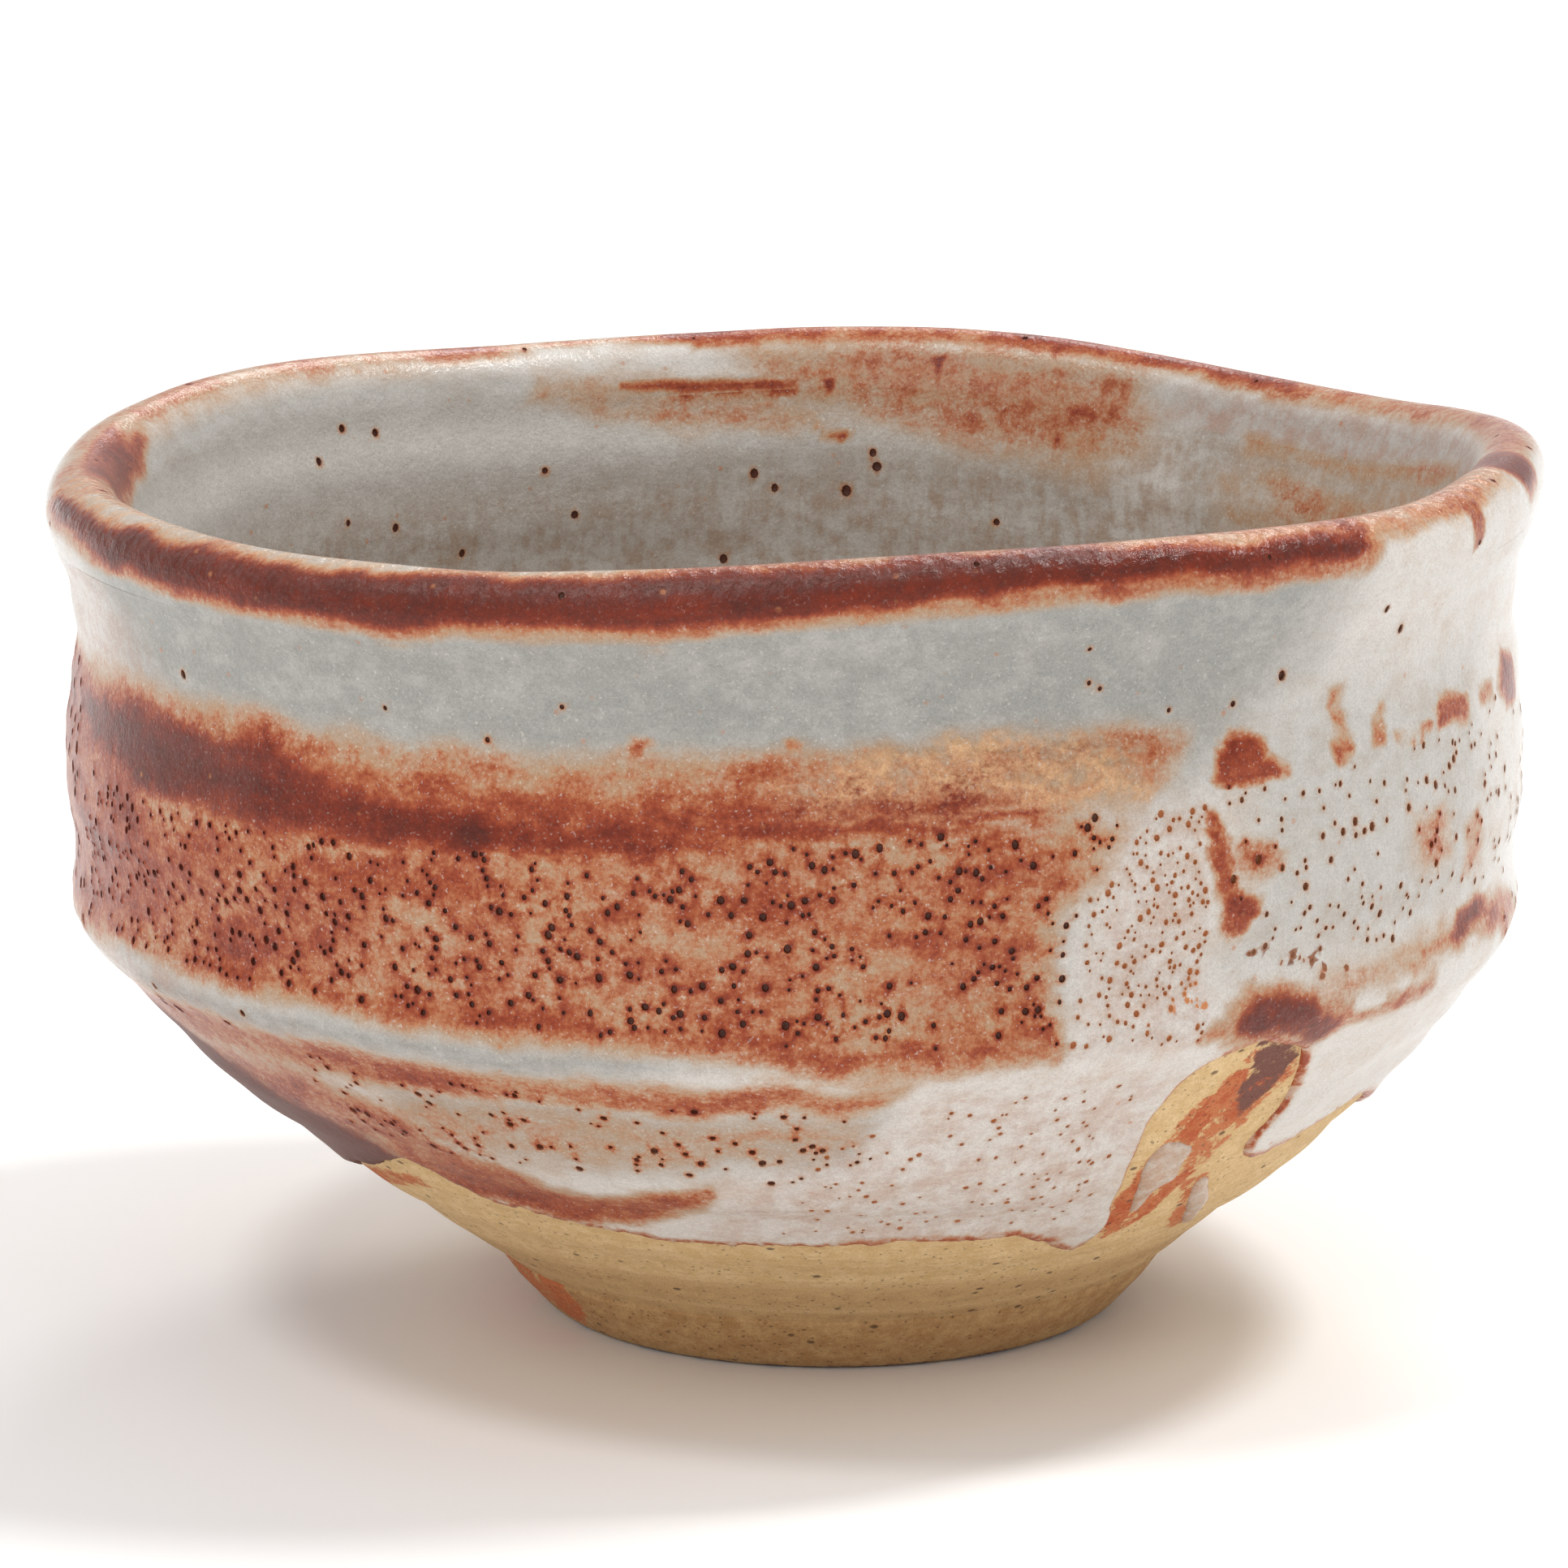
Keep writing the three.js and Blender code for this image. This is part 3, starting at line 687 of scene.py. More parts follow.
def pinholeTree():
    tree = bpy.data.node_groups.new("sink pinholes", "GeometryNodeTree")
    tree.interface.new_socket("Geometry", in_out="INPUT", socket_type="NodeSocketGeometry")
    tree.interface.new_socket("Seeds", in_out="INPUT", socket_type="NodeSocketObject")
    tree.interface.new_socket("Depth", in_out="INPUT", socket_type="NodeSocketFloat").default_value = 1.0
    tree.interface.new_socket("Sunk", in_out="INPUT", socket_type="NodeSocketFloat").default_value = 0.1
    tree.interface.new_socket("Sides", in_out="INPUT", socket_type="NodeSocketInt").default_value = 12
    tree.interface.new_socket("Steps", in_out="INPUT", socket_type="NodeSocketInt").default_value = 6
    tree.interface.new_socket("Glaze", in_out="INPUT", socket_type="NodeSocketMaterial")
    tree.interface.new_socket("Geometry", in_out="OUTPUT", socket_type="NodeSocketGeometry")
    nodes, links = tree.nodes, tree.links
    start, end = nodes.new("NodeGroupInput"), nodes.new("NodeGroupOutput")
    info = nodes.new("GeometryNodeObjectInfo")
    links.new(start.outputs["Seeds"], info.inputs["Object"])
    ball = nodes.new("GeometryNodeMeshUVSphere")
    ball.inputs["Radius"].default_value = 1.0
    links.new(start.outputs["Sides"], ball.inputs["Segments"])
    links.new(start.outputs["Steps"], ball.inputs["Rings"])
    squash = nodes.new("ShaderNodeCombineXYZ")
    squash.inputs["X"].default_value = 1.0
    squash.inputs["Y"].default_value = 1.0
    links.new(start.outputs["Depth"], squash.inputs["Z"])
    sink = nodes.new("ShaderNodeCombineXYZ")
    links.new(start.outputs["Sunk"], sink.inputs["Z"])
    shape = nodes.new("GeometryNodeTransform")
    links.new(ball.outputs["Mesh"], shape.inputs["Geometry"])
    links.new(squash.outputs["Vector"], shape.inputs["Scale"])
    links.new(sink.outputs["Vector"], shape.inputs["Translation"])
    turn, size = nodes.new("GeometryNodeInputNamedAttribute"), nodes.new("GeometryNodeInputNamedAttribute")
    for node, name in ((turn, "turn"), (size, "size")):
        node.data_type = "FLOAT_VECTOR"
        node.inputs["Name"].default_value = name
    toTurn = nodes.new("FunctionNodeEulerToRotation")
    links.new(turn.outputs["Attribute"], toTurn.inputs["Euler"])
    spread = nodes.new("GeometryNodeInstanceOnPoints")
    links.new(info.outputs["Geometry"], spread.inputs["Points"])
    links.new(shape.outputs["Geometry"], spread.inputs["Instance"])
    links.new(toTurn.outputs["Rotation"], spread.inputs["Rotation"])
    links.new(size.outputs["Attribute"], spread.inputs["Scale"])
    real = nodes.new("GeometryNodeRealizeInstances")
    links.new(spread.outputs["Instances"], real.inputs["Geometry"])
    cut = nodes.new("GeometryNodeMeshBoolean")
    cut.operation = "DIFFERENCE"
    cut.solver = "MANIFOLD"
    links.new(start.outputs["Geometry"], cut.inputs["Mesh 1"])
    links.new(real.outputs["Geometry"], cut.inputs["Mesh 2"])
    whole = nodes.new("GeometryNodeRealizeInstances")
    links.new(cut.outputs["Mesh"], whole.inputs["Geometry"])
    paint = nodes.new("GeometryNodeSetMaterial")
    links.new(whole.outputs["Geometry"], paint.inputs["Geometry"])
    links.new(start.outputs["Glaze"], paint.inputs["Material"])
    links.new(paint.outputs["Geometry"], end.inputs["Geometry"])
    return tree


# Where each pinhole sits in space: centre and outward normal
def holePlaces(holes, coat):
    angle = np.array([h["angle"] for h in holes])
    s = np.array([h["s"] for h in holes])
    r, z, nr, nz = sectionAt(s)
    base = place(r, z, angle)
    distance = np.array([h.get("fromEdge", 99.0) for h in holes])
    height = coatThickness(distance, coat) + thrownWaves(angle, s, base)
    centre = place(r + nr * height, z + nz * height, angle)
    further = place(r + nr * (height + 1), z + nz * (height + 1), angle)
    normal = further - centre
    return centre, normal / np.linalg.norm(normal, axis=1)[:, None]


def sinkPinholes(obj, holes, coat, material, rng):
    centre, normal = holePlaces(holes, coat)
    seeds = meshObject(obj.name + "Seeds", centre, [])
    turns, sizes = [], []
    for n, h in zip(normal, holes):
        up = Vector((0, 0, 1)) - Vector(n) * n[2]
        up = up.normalized() if up.length > 1e-3 else Vector((1, 0, 0))
        z = Vector(n)
        x = up.cross(z).normalized()
        turns.append(Matrix((x, up, z)).transposed().to_euler())
        stretch = 1 + 0.35 * rng.random()
        radius = h["radius"] * mm
        sizes.append((radius, radius * stretch, radius))
    for name, rows in (("turn", turns), ("size", sizes)):
        layer = seeds.data.attributes.new(name, "FLOAT_VECTOR", "POINT")
        layer.data.foreach_set("vector", np.array([tuple(v) for v in rows], np.float32).ravel())
    tree = pinholeTree()
    modifier = obj.modifiers.new("pinholes", "NODES")
    modifier.node_group = tree
    given = {"Seeds": seeds, "Glaze": material, **pinholeSizes}
    for item in tree.interface.items_tree:
        if item.in_out == "INPUT" and item.name in given:
            modifier[item.identifier] = given[item.name]
    view = bpy.context.evaluated_depsgraph_get()
    result = bpy.data.meshes.new_from_object(obj.evaluated_get(view))
    obj.modifiers.clear()
    old = obj.data
    obj.data = result
    bpy.data.meshes.remove(old)
    bpy.data.objects.remove(seeds)
    bpy.data.node_groups.remove(tree)
    return centre, normal


liningAsh = 0.65  # share of ash on the lip that matches the grey of the lining


# Paint: everything that the glaze shader reads from the mesh
def paintGlaze(obj, where="outside", holes=(), centre=None, normal=None, edge=None):
    xyz = vertexArray(obj)
    angle, r, z = unplace(xyz)
    height = z.copy()
    overLip = r < form["lipRadius"] - form["wall"] / 2
    if where == "lip":
        height = np.where(overLip, 2 * (form["lipTop"] + form["coat"]) - z, z)
    a, h = wandered(angle, height, xyz, 0.55 if where == "lip" else 1.0)
    if where == "inside":
        iron = painted(a, h, innerIronPatches)
        ash = 0.95 - painted(a, h, innerBarePatches)
    else:
        iron = painted(a, h, ironPatches)
        ash = painted(a, h, ashPatches)
    if where == "lip":
        iron = np.maximum(iron, painted(a, z, innerIronPatches) * overLip)
        # The lining's grey is paler, so less ash on the inner side of the lip gives the same colour
        ash = lerp(ash, liningAsh * (0.95 - painted(a, z, innerBarePatches)), smoothStep(height, 75.8, 78) * overLip)
    setAttribute(obj, "iron", iron)
    setAttribute(obj, "ash", np.clip(ash, 0, 1))
    setAttribute(obj, "blush", painted(a, h, blushPatches) if where == "outside" else painted(a, z, innerBlushAndShadePatches))
    setAttribute(obj, "scorch", painted(a, h, scorchPatches) if where != "inside" else np.zeros(len(xyz)))
    setAttribute(obj, "crawl", painted(a, h, crawlPatches) if where != "inside" else np.zeros(len(xyz)))
    rim = np.zeros(len(xyz))
    if edge is not None:
        flat = np.stack([angle * mmPerDegree, alongOutside(np.clip(z, form["bodyBottom"], form["lipTop"]))], 1)
        near = flat[:, 1] < edge[:, 1].max() + 3
        rim[near] = np.exp(-np.clip(lineDistance(flat[near], edge * [mmPerDegree, 1]) - 0.35, 0, 9) / 0.35)
    setAttribute(obj, "edge", rim)
    halo, depth, dark = np.zeros(len(xyz)), np.zeros(len(xyz)), np.ones(len(xyz))
    if len(holes):
        tree = kdtree.KDTree(len(holes))
        for i, c in enumerate(centre):
            tree.insert(c, i)
        tree.balance()
        for k, p in enumerate(xyz):
            _, i, distance = tree.find(p)
            radius = holes[i]["radius"] * mm
            reach = distance / radius
            if reach < 4.0:
                halo[k] = 1 - min(max((distance - radius) / (0.9 * radius + 0.22 * mm), 0), 1)
                depth[k] = min(max(-float(np.dot(p - centre[i], normal[i])) / radius, 0), 1) if reach < 1.5 else 0
                dark[k] = holes[i]["dark"]
    setAttribute(obj, "halo", halo)
    setAttribute(obj, "depth", depth)
    setAttribute(obj, "dark", dark)


# ---------- shaders ----------

# One output of a node, which can be used in sums like a number
class Value:
    def __init__(self, shader, socket):
        self.shader, self.socket = shader, socket

    def __add__(self, other): return self.shader.math("ADD", self, other)
    def __radd__(self, other): return self.shader.math("ADD", other, self)
    def __sub__(self, other): return self.shader.math("SUBTRACT", self, other)
    def __rsub__(self, other): return self.shader.math("SUBTRACT", other, self)
    def __mul__(self, other): return self.shader.math("MULTIPLY", self, other)
    def __rmul__(self, other): return self.shader.math("MULTIPLY", other, self)
    def __truediv__(self, other): return self.shader.math("DIVIDE", self, other)
    def __rtruediv__(self, other): return self.shader.math("DIVIDE", other, self)
    def __pow__(self, other): return self.shader.math("POWER", self, other)
    def __neg__(self): return self.shader.math("MULTIPLY", self, -1.0)


class Shader:
    def __init__(self, name):
        self.material = bpy.data.materials.new(name)
        self.material.use_nodes = True
        self.tree = self.material.node_tree
        self.tree.nodes.clear()

    # Any node: its type, its settings, then its inputs as numbers or other nodes' outputs
    def node(self, kind, settings=None, inputs=None, output=0):
        node = self.tree.nodes.new(kind)
        for key, value in (settings or {}).items():
            setattr(node, key, value)
        for key, value in (inputs or {}).items():
            if isinstance(value, Value):
                self.tree.links.new(value.socket, node.inputs[key])
            else:
                node.inputs[key].default_value = value
        return Value(self, node.outputs[output]) if len(node.outputs) else None

    def math(self, operation, a, b=0.0, c=None, clamp=False):
        inputs = {0: a, 1: b} if c is None else {0: a, 1: b, 2: c}
        return self.node("ShaderNodeMath", {"operation": operation, "use_clamp": clamp}, inputs)

    def clamp(self, a): return self.math("ADD", a, 0.0, clamp=True)
    def larger(self, a, b): return self.math("MAXIMUM", a, b)

    def ease(self, a, low, high, toLow=0.0, toHigh=1.0):
        return self.node("ShaderNodeMapRange", {"interpolation_type": "SMOOTHSTEP"},
                         {"Value": a, "From Min": low, "From Max": high, "To Min": toLow, "To Max": toHigh})

    def mix(self, amount, a, b, way="MIX"):
        return self.node("ShaderNodeMix", {"data_type": "RGBA", "blend_type": way, "clamp_factor": True},
                         {0: amount, 6: a, 7: b}, 2)

    def attribute(self, name):
        return self.node("ShaderNodeAttribute", {"attribute_type": "GEOMETRY", "attribute_name": name}, {}, "Fac")

    # Object coordinates in mm, stretched per axis
    def place(self, stretch=(1, 1, 1)):
        point = self.node("ShaderNodeTexCoord", {}, {}, "Object")
        return self.node("ShaderNodeVectorMath", {"operation": "MULTIPLY"},
                         {0: point, 1: tuple(1000.0 * k for k in stretch)})

    def noise(self, place, scale, detail=3.0, roughness=0.55, distortion=0.0):
        return self.node("ShaderNodeTexNoise", {"noise_dimensions": "3D"},
                         {"Vector": place, "Scale": scale, "Detail": detail, "Roughness": roughness,
                          "Distortion": distortion}, "Fac")

    def cells(self, place, scale, feature="F1", output="Distance", randomness=1.0):
        return self.node("ShaderNodeTexVoronoi", {"feature": feature},
                         {"Vector": place, "Scale": scale, "Randomness": randomness}, output)

    def ramp(self, amount, stops):
        node = self.tree.nodes.new("ShaderNodeValToRGB")
        self.tree.links.new(amount.socket, node.inputs[0])
        ramp = node.color_ramp
        while len(ramp.elements) < len(stops):
            ramp.elements.new(0.5)
        for element, (position, colour) in zip(ramp.elements, stops):
            element.position = position
            element.color = (*colour, 1)
        return Value(self, node.outputs[0])

    def finish(self, colour, roughness, height, distance, **fixed):
        bump = self.node("ShaderNodeBump", {}, {"Height": height, "Distance": distance, "Strength": 1.0})
        surface = self.node("ShaderNodeBsdfPrincipled", {},
                            {"Base Color": colour, "Roughness": roughness, "Normal": bump,
                             **{key.replace("_", " "): value for key, value in fixed.items()}})
        self.node("ShaderNodeOutputMaterial", {}, {"Surface": surface})
        return self.material


def rgb(r, g, b):
    return (r, g, b, 1.0)


glazeLook = {
    "white": rgb(0.76, 0.72, 0.675),
    "warm": rgb(0.68, 0.55, 0.45),
    "ash": rgb(0.375, 0.37, 0.345),
    "blush": rgb(0.50, 0.30, 0.23),
    "honey": rgb(0.82, 0.50, 0.27),
    "orange": rgb(0.55, 0.21, 0.08),
    "tan": rgb(0.50, 0.33, 0.21),
    "palerTan": rgb(0.55, 0.45, 0.36),
    "iron": [(0.0, (0.58, 0.44, 0.29)), (0.26, (0.56, 0.30, 0.145)), (0.46, (0.51, 0.17, 0.066)),
             (0.64, (0.36, 0.066, 0.024)), (0.82, (0.21, 0.027, 0.010)), (1.0, (0.11, 0.019, 0.011))],
    "scorch": rgb(0.10, 0.034, 0.024),
    "plum": rgb(0.21, 0.075, 0.065),
    "pinhole": rgb(0.10, 0.030, 0.018),
    "paleHole": rgb(0.60, 0.22, 0.07),
    "fleck": rgb(0.82, 0.78, 0.72),
}


def glazeMaterial(name, look, gloss=0.22, fleckAmount=0.45, shine=0.22):
    sh = Shader(name)
    at = sh.place()
    iron, ash, blush = sh.attribute("iron"), sh.attribute("ash"), sh.attribute("blush")
    scorch, halo, depth = sh.attribute("scorch"), sh.attribute("halo"), sh.attribute("depth")
    dark, edge, crawl = sh.attribute("dark"), sh.attribute("edge"), sh.attribute("crawl")
    broad = sh.noise(sh.place((0.7, 0.7, 1.5)), 0.15, 4.0, 0.6)
    mottle = sh.noise(sh.place((0.8, 0.8, 1.3)), 0.38, 5.0, 0.62)
    cloud = sh.noise(at, 0.8, 4.0, 0.62)
    fine = sh.noise(at, 2.6, 3.0, 0.6)
    grain = sh.noise(at, 9.0, 2.0, 0.6)
    streak = sh.noise(sh.place((1.0, 1.0, 0.22)), 1.1, 3.0, 0.6)

    # The pale ground: white, warmed in clouds, grey where the ash is thick, pink where it is thin
    ground = sh.mix(sh.ease(mottle * 0.6 + broad * 0.4, 0.44, 0.66, 0.0, 0.6), look["white"], look["warm"])
    ground = sh.mix(sh.clamp(ash * sh.ease(mottle * 0.5 + cloud * 0.3 + broad * 0.2, 0.34, 0.60, 0.70, 1.02)), ground,
                    look["ash"])
    ground = sh.mix(sh.clamp(blush * sh.ease(streak * 0.3 + cloud * 0.3 + mottle * 0.4, 0.40, 0.62, 0.12, 0.9)),
                    ground, look["blush"])

    # Iron, broken up by noise at several sizes: thin it is a tan veil, thick it is opaque and dark
    ground = sh.mix(sh.ease(iron + (mottle - 0.5) * 0.3, 0.02, 0.42, 0.0, 0.85), ground,
                    sh.mix(sh.ease(broad, 0.42, 0.58), look["tan"], look["palerTan"]))
    uneven = (broad - 0.5) * 0.85 + (mottle - 0.5) * 0.55 + (cloud - 0.5) * 0.45 + (fine - 0.5) * 0.40
    uneven = uneven + (streak - 0.5) * 0.18
    amount = iron + uneven * sh.ease(iron, 0.02, 0.4) * sh.ease(iron, 1.2, 0.45, 0.3, 1.0)
    ring = halo * (0.33 + 0.07 * dark) * sh.ease(fine * 0.5 + cloud * 0.5, 0.35, 0.6, 0.7, 1.15)
    amount = sh.larger(amount, sh.ease(amount, 0.0, 0.6, 0.0, 0.45) + ring)
    amount = sh.larger(amount, edge * sh.ease(cloud, 0.36, 0.62, 0.34, 0.66))
    ironColour = sh.ramp(sh.clamp(amount), look["iron"])
    colour = sh.mix(sh.ease(amount, 0.06, 0.58), ground, ironColour)
    colour = sh.mix(sh.clamp(scorch * sh.ease(cloud + fine * 0.5, 0.5, 0.95, 0.35, 1.05)), colour,
                    sh.mix(sh.ease(fine, 0.4, 0.6), look["scorch"], look["plum"]))

    colour = sh.mix(crawl * sh.ease(amount, 0.75, 0.45) * sh.ease(mottle * 0.5 + cloud * 0.5, 0.42, 0.60, 0.12, 0.95),
                    colour, look["honey"])

    # Small pale flecks of ash, and a few rust specks
    flecks = sh.ease(sh.noise(at, 3.6, 2.0, 0.5), 0.60, 0.76) * sh.ease(amount, 1.0, 0.5, 0.25, 1.0)
    colour = sh.mix(flecks * fleckAmount * sh.ease(amount + ash * 0.5, 0.1, 0.6, 0.2, 1.0), colour, look["fleck"])
    colour = sh.mix(sh.ease(sh.noise(at, 5.0, 2.0, 0.6), 0.45, 0.7, 0.0, 0.16), colour, rgb(0.25, 0.24, 0.23),
                    "MULTIPLY")
    specks = sh.ease(sh.cells(at, 0.45), 0.16, 0.05) * sh.ease(mottle, 0.48, 0.62)
    colour = sh.mix(specks * 0.65, colour, look["orange"])
    colour = sh.mix(sh.ease(grain, 0.3, 0.7, 0.0, 0.16), colour, rgb(0.12, 0.09, 0.07), "MULTIPLY")
    colour = sh.mix(sh.ease(fine, 0.35, 0.65, 0.0, 0.10), colour, rgb(0.3, 0.26, 0.22), "MULTIPLY")
    # The bottom of a pinhole: orange in the white glaze, dark where the iron is thick
    inHole = sh.ease(depth, 0.02, 0.3)
    colour = sh.mix(inHole * 0.92, colour, sh.mix(dark, look["paleHole"], look["pinhole"]))

    rough = sh.clamp(gloss + (fine - 0.5) * 0.25 - crawl * 0.14 + ash * 0.10 + scorch * 0.2)
    height = cloud * 0.10 + fine * 0.06 + grain * 0.012 + crawl * (sh.cells(at, 0.9) * 0.5 + fine * 0.10)
    return sh.finish(colour, rough, height, 0.001, IOR=1.5, Specular_IOR_Level=shine)


clayLook = {
    "body": rgb(0.70, 0.475, 0.225),
    "pale": rgb(0.82, 0.60, 0.33),
    # low and foot: the clay darker towards the bottom, partly its own tone and partly painted shade
    "low": rgb(0.54, 0.335, 0.155),
    "foot": rgb(0.46, 0.25, 0.10),
    "flash": rgb(0.50, 0.105, 0.035),
    "orangeFlash": rgb(0.60, 0.20, 0.075),
    "smoke": rgb(0.19, 0.075, 0.055),
    "grit": rgb(0.10, 0.05, 0.03),
}


def clayMaterial(name, look):
    sh = Shader(name)
    at = sh.place()
    broad = sh.noise(at, 0.12, 3.0)
    cloud = sh.noise(at, 0.6, 4.0, 0.6)
    fine = sh.noise(at, 2.2, 4.0, 0.65)
    grain = sh.noise(at, 7.0, 3.0, 0.65)
    turned = sh.noise(sh.place((0.12, 0.12, 2.2)), 1.0, 3.0, 0.6)
    colour = sh.mix(sh.ease(cloud * 0.6 + fine * 0.4, 0.38, 0.64), look["body"], look["pale"])
    colour = sh.mix(sh.ease(turned, 0.48, 0.72, 0.0, 0.35), colour, look["low"])
    # Darker low on the body and on the foot: partly the clay's own tone, partly painted shade.
    colour = sh.mix(sh.clamp(sh.attribute("low") * sh.ease(cloud, 0.3, 0.65, 0.3, 1.1)), colour, look["low"])
    colour = sh.mix(sh.clamp(sh.attribute("foot") * sh.ease(cloud * 0.6 + fine * 0.4, 0.34, 0.62, 0.35, 1.1)), colour,
                    look["foot"])
    # Flashes of red and grey smoke are torn by the noise, not blurred
    torn = (cloud - 0.5) * 1.5 + (fine - 0.5) * 1.2 + (broad - 0.5) * 0.6
    flash = sh.attribute("flash")
    colour = sh.mix(sh.ease(flash + torn * sh.ease(flash, 0.05, 0.4), 0.26, 0.56), colour,
                    sh.mix(sh.ease(fine * 0.5 + cloud * 0.5, 0.42, 0.58), look["flash"], look["orangeFlash"]))
    smoke = sh.attribute("smoke")
    colour = sh.mix(sh.ease(smoke + torn * sh.ease(smoke, 0.05, 0.4), 0.28, 0.66), colour, look["smoke"])
    grit = sh.ease(sh.cells(at, 1.4), 0.24, 0.10) * sh.ease(cloud, 0.38, 0.54)
    coarse = sh.ease(sh.cells(sh.place((0.7, 0.7, 1.2)), 0.42), 0.13, 0.06)
    grit = sh.larger(grit * 0.7, coarse)
    colour = sh.mix(grit * 0.8, colour, look["grit"])
    colour = sh.mix(sh.ease(grain, 0.35, 0.75, 0.0, 0.35), colour, rgb(0.3, 0.2, 0.12), "MULTIPLY")
    height = turned * 0.14 + cloud * 0.08 + fine * 0.10 + grain * 0.05 - grit * 0.10
    return sh.finish(colour, sh.ease(grain, 0.3, 0.7, 0.6, 0.85), height, 0.001, IOR=1.45, Specular_IOR_Level=0.3)


outerMaterial = glazeMaterial("ash glaze", glazeLook)
rimMaterial = glazeMaterial("iron glaze", glazeLook, gloss=0.15, fleckAmount=0.30, shine=0.28)
# Inside, the blush is a brown-grey: partly the glaze's own colour, partly painted shade low down.
innerLook = {**glazeLook, "ash": rgb(0.52, 0.50, 0.465), "blush": rgb(0.40, 0.28, 0.20)}
innerMaterial = glazeMaterial("inner ash glaze", innerLook, gloss=0.30)
dropMaterial = glazeMaterial("drop glaze", glazeLook, fleckAmount=0.2)
bodyMaterial = clayMaterial("stoneware", clayLook)
footMaterial = clayMaterial("foot stoneware", clayLook)
print("materials made")


# ---------- grids: the clay body, the foot ring, the lip band and the inside coat ----------

# A closed body of revolution from rows of (radius, height, mm along the section or None, lift)
def turnedGrid(name, rows, columns, closeLow, closeHigh, ring=False, waves=True):
    angle = np.linspace(-180, 180, columns, endpoint=False)
    verts, faces, starts = [], [], []
    for r, z, s, lift in rows:
        starts.append(len(verts))
        if r < 1e-6:
            verts.append((form["footOffset"] * mm if z < 20 else 0, 0, 0))
            verts[-1] = tuple(place(np.array([0.0]), np.array([z]), np.array([0.0]))[0])
            continue
        rr, zz = np.full(columns, float(r)), np.full(columns, float(z))
        if s is not None and waves:
            base = place(rr, zz, angle)
            _, _, nr, nz = sectionAt(np.full(columns, float(s)))
            offset = thrownWaves(angle, np.full(columns, float(s)), base)
            rr, zz = rr + nr * offset, zz + nz * offset
        verts.extend(map(tuple, place(rr, zz, angle)))
    count = len(rows)
    for i in range(count if ring else count - 1):
        a, b = starts[i], starts[(i + 1) % count]
        tipA, tipB = rows[i][0] < 1e-6, rows[(i + 1) % count][0] < 1e-6
        for k in range(columns):
            n = (k + 1) % columns
            if tipA:
                faces.append((a, b + n, b + k))
            elif tipB:
                faces.append((a + k, a + n, b))
            else:
                faces.append((a + k, a + n, b + n, b + k))
    obj = meshObject(name, verts, faces)
    return obj


def liftedRow(s, lift):
    r, z, nr, nz = (float(v) for v in sectionAt(s))
    return (max(r + nr * lift, 0.0), z + nz * lift, s, lift)


bandHeight = form["lipTop"] - form["bandDepth"]
bandOutside = float(alongOutside(bandHeight))
bandInside = float(alongInside(bandHeight))

joint = form["footHeight"] + 0.02  # where the thrown body sits on its foot
clayRows = [(0, joint, None, 0), (form["footRadius"] - 8.4, joint, None, 0), (form["footRadius"] - 0.8, joint, None, 0),
            (form["footRadius"] - 0.3, joint, None, 0)]
clayRows += [liftedRow(s, 0) for s in np.concatenate([
    np.arange(0.05, alongOutside(35.5), 0.55), np.linspace(alongOutside(36), crestAlong - 3, 12),
    np.linspace(crestAlong - 2, crestAlong + 3, 7), np.linspace(crestAlong + 6, along[-1], 22)])]
body = turnedGrid("thrown_body", clayRows, 640, True, True)
smoothShade(body)
xyz = vertexArray(body)
angle, r, z = unplace(xyz)
clayFlash = [
    (0.48, 0.8, [(36.6, 30.6), (38.4, 33.8), (44.4, 32.2), (46.0, 29), (43.2, 26.2), (41.8, 22.8), (39.8, 19.0),
                 (37.6, 15.2), (34, 13.6), (31.6, 15), (31.4, 19), (32.0, 22.6), (33.6, 26.0)]),
    (0.6, 0.8, [(39, 20), (43, 20), (48, 15.5), (51.4, 13), (49, 12), (44, 14)]),
    (0.95, 0.5, [(37.8, 31.6), (39.8, 30.8), (36.8, 24.2), (34.4, 25.0)]),
    (0.90, 0.5, [(41.0, 31.4), (44.4, 30.0), (40.8, 25.0), (39.0, 26.4)]),
    (0.95, 0.5, [(32.6, 23.0), (35.0, 22.2), (34.6, 15.2), (32.0, 15.6)]),
    (0.84, 0.4, [(38.4, 21.4), (40.4, 20.8), (37.6, 15.4), (36.2, 15.6)]),
    (0.6, 1.0, [(-105, 6.5), (-80, 7), (-52, 5.5), (-50, 2), (-105, 2)]),
    (0.55, 0.6, [(-92, 13.6), (-72, 15), (-56, 18), (-46, 19), (-46, 17.6), (-70, 13.4), (-92, 11.8)]),
    (0.6, 1.2, [(120, 19), (160, 18), (200, 20), (200, 13), (120, 12)]),
]
claySmoke = [
    (0.74, 0.9, [(38.6, 33.4), (42.6, 34), (44.6, 32), (43.6, 28.0), (41.2, 25.8), (39.4, 28.6)]),
    (0.8, 0.5, [(37.6, 35.3), (40.8, 35.4), (40.6, 33.6), (38, 33.6)]),
]
# A darker band low on the body, all round: partly the clay's own tone, partly painted shade.
lowClayAndShade = [(0.8, 1.0, [(-180, 10), (180, 10), (180, 7), (-180, 7)]), (0.9, 0.4, [(-180, 6.6), (180, 6.6), (180, 5),
                                                                              (-180, 5)])]
setAttribute(body, "flash", painted(angle, z, clayFlash))
setAttribute(body, "smoke", painted(angle, z, claySmoke))
setAttribute(body, "low", painted(angle, z, lowClayAndShade))
setAttribute(body, "foot", np.zeros(len(xyz)))
body.data.materials.append(bodyMaterial)
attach(body, "root"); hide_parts("clay_body")
print("clay body:", len(body.data.polygons))

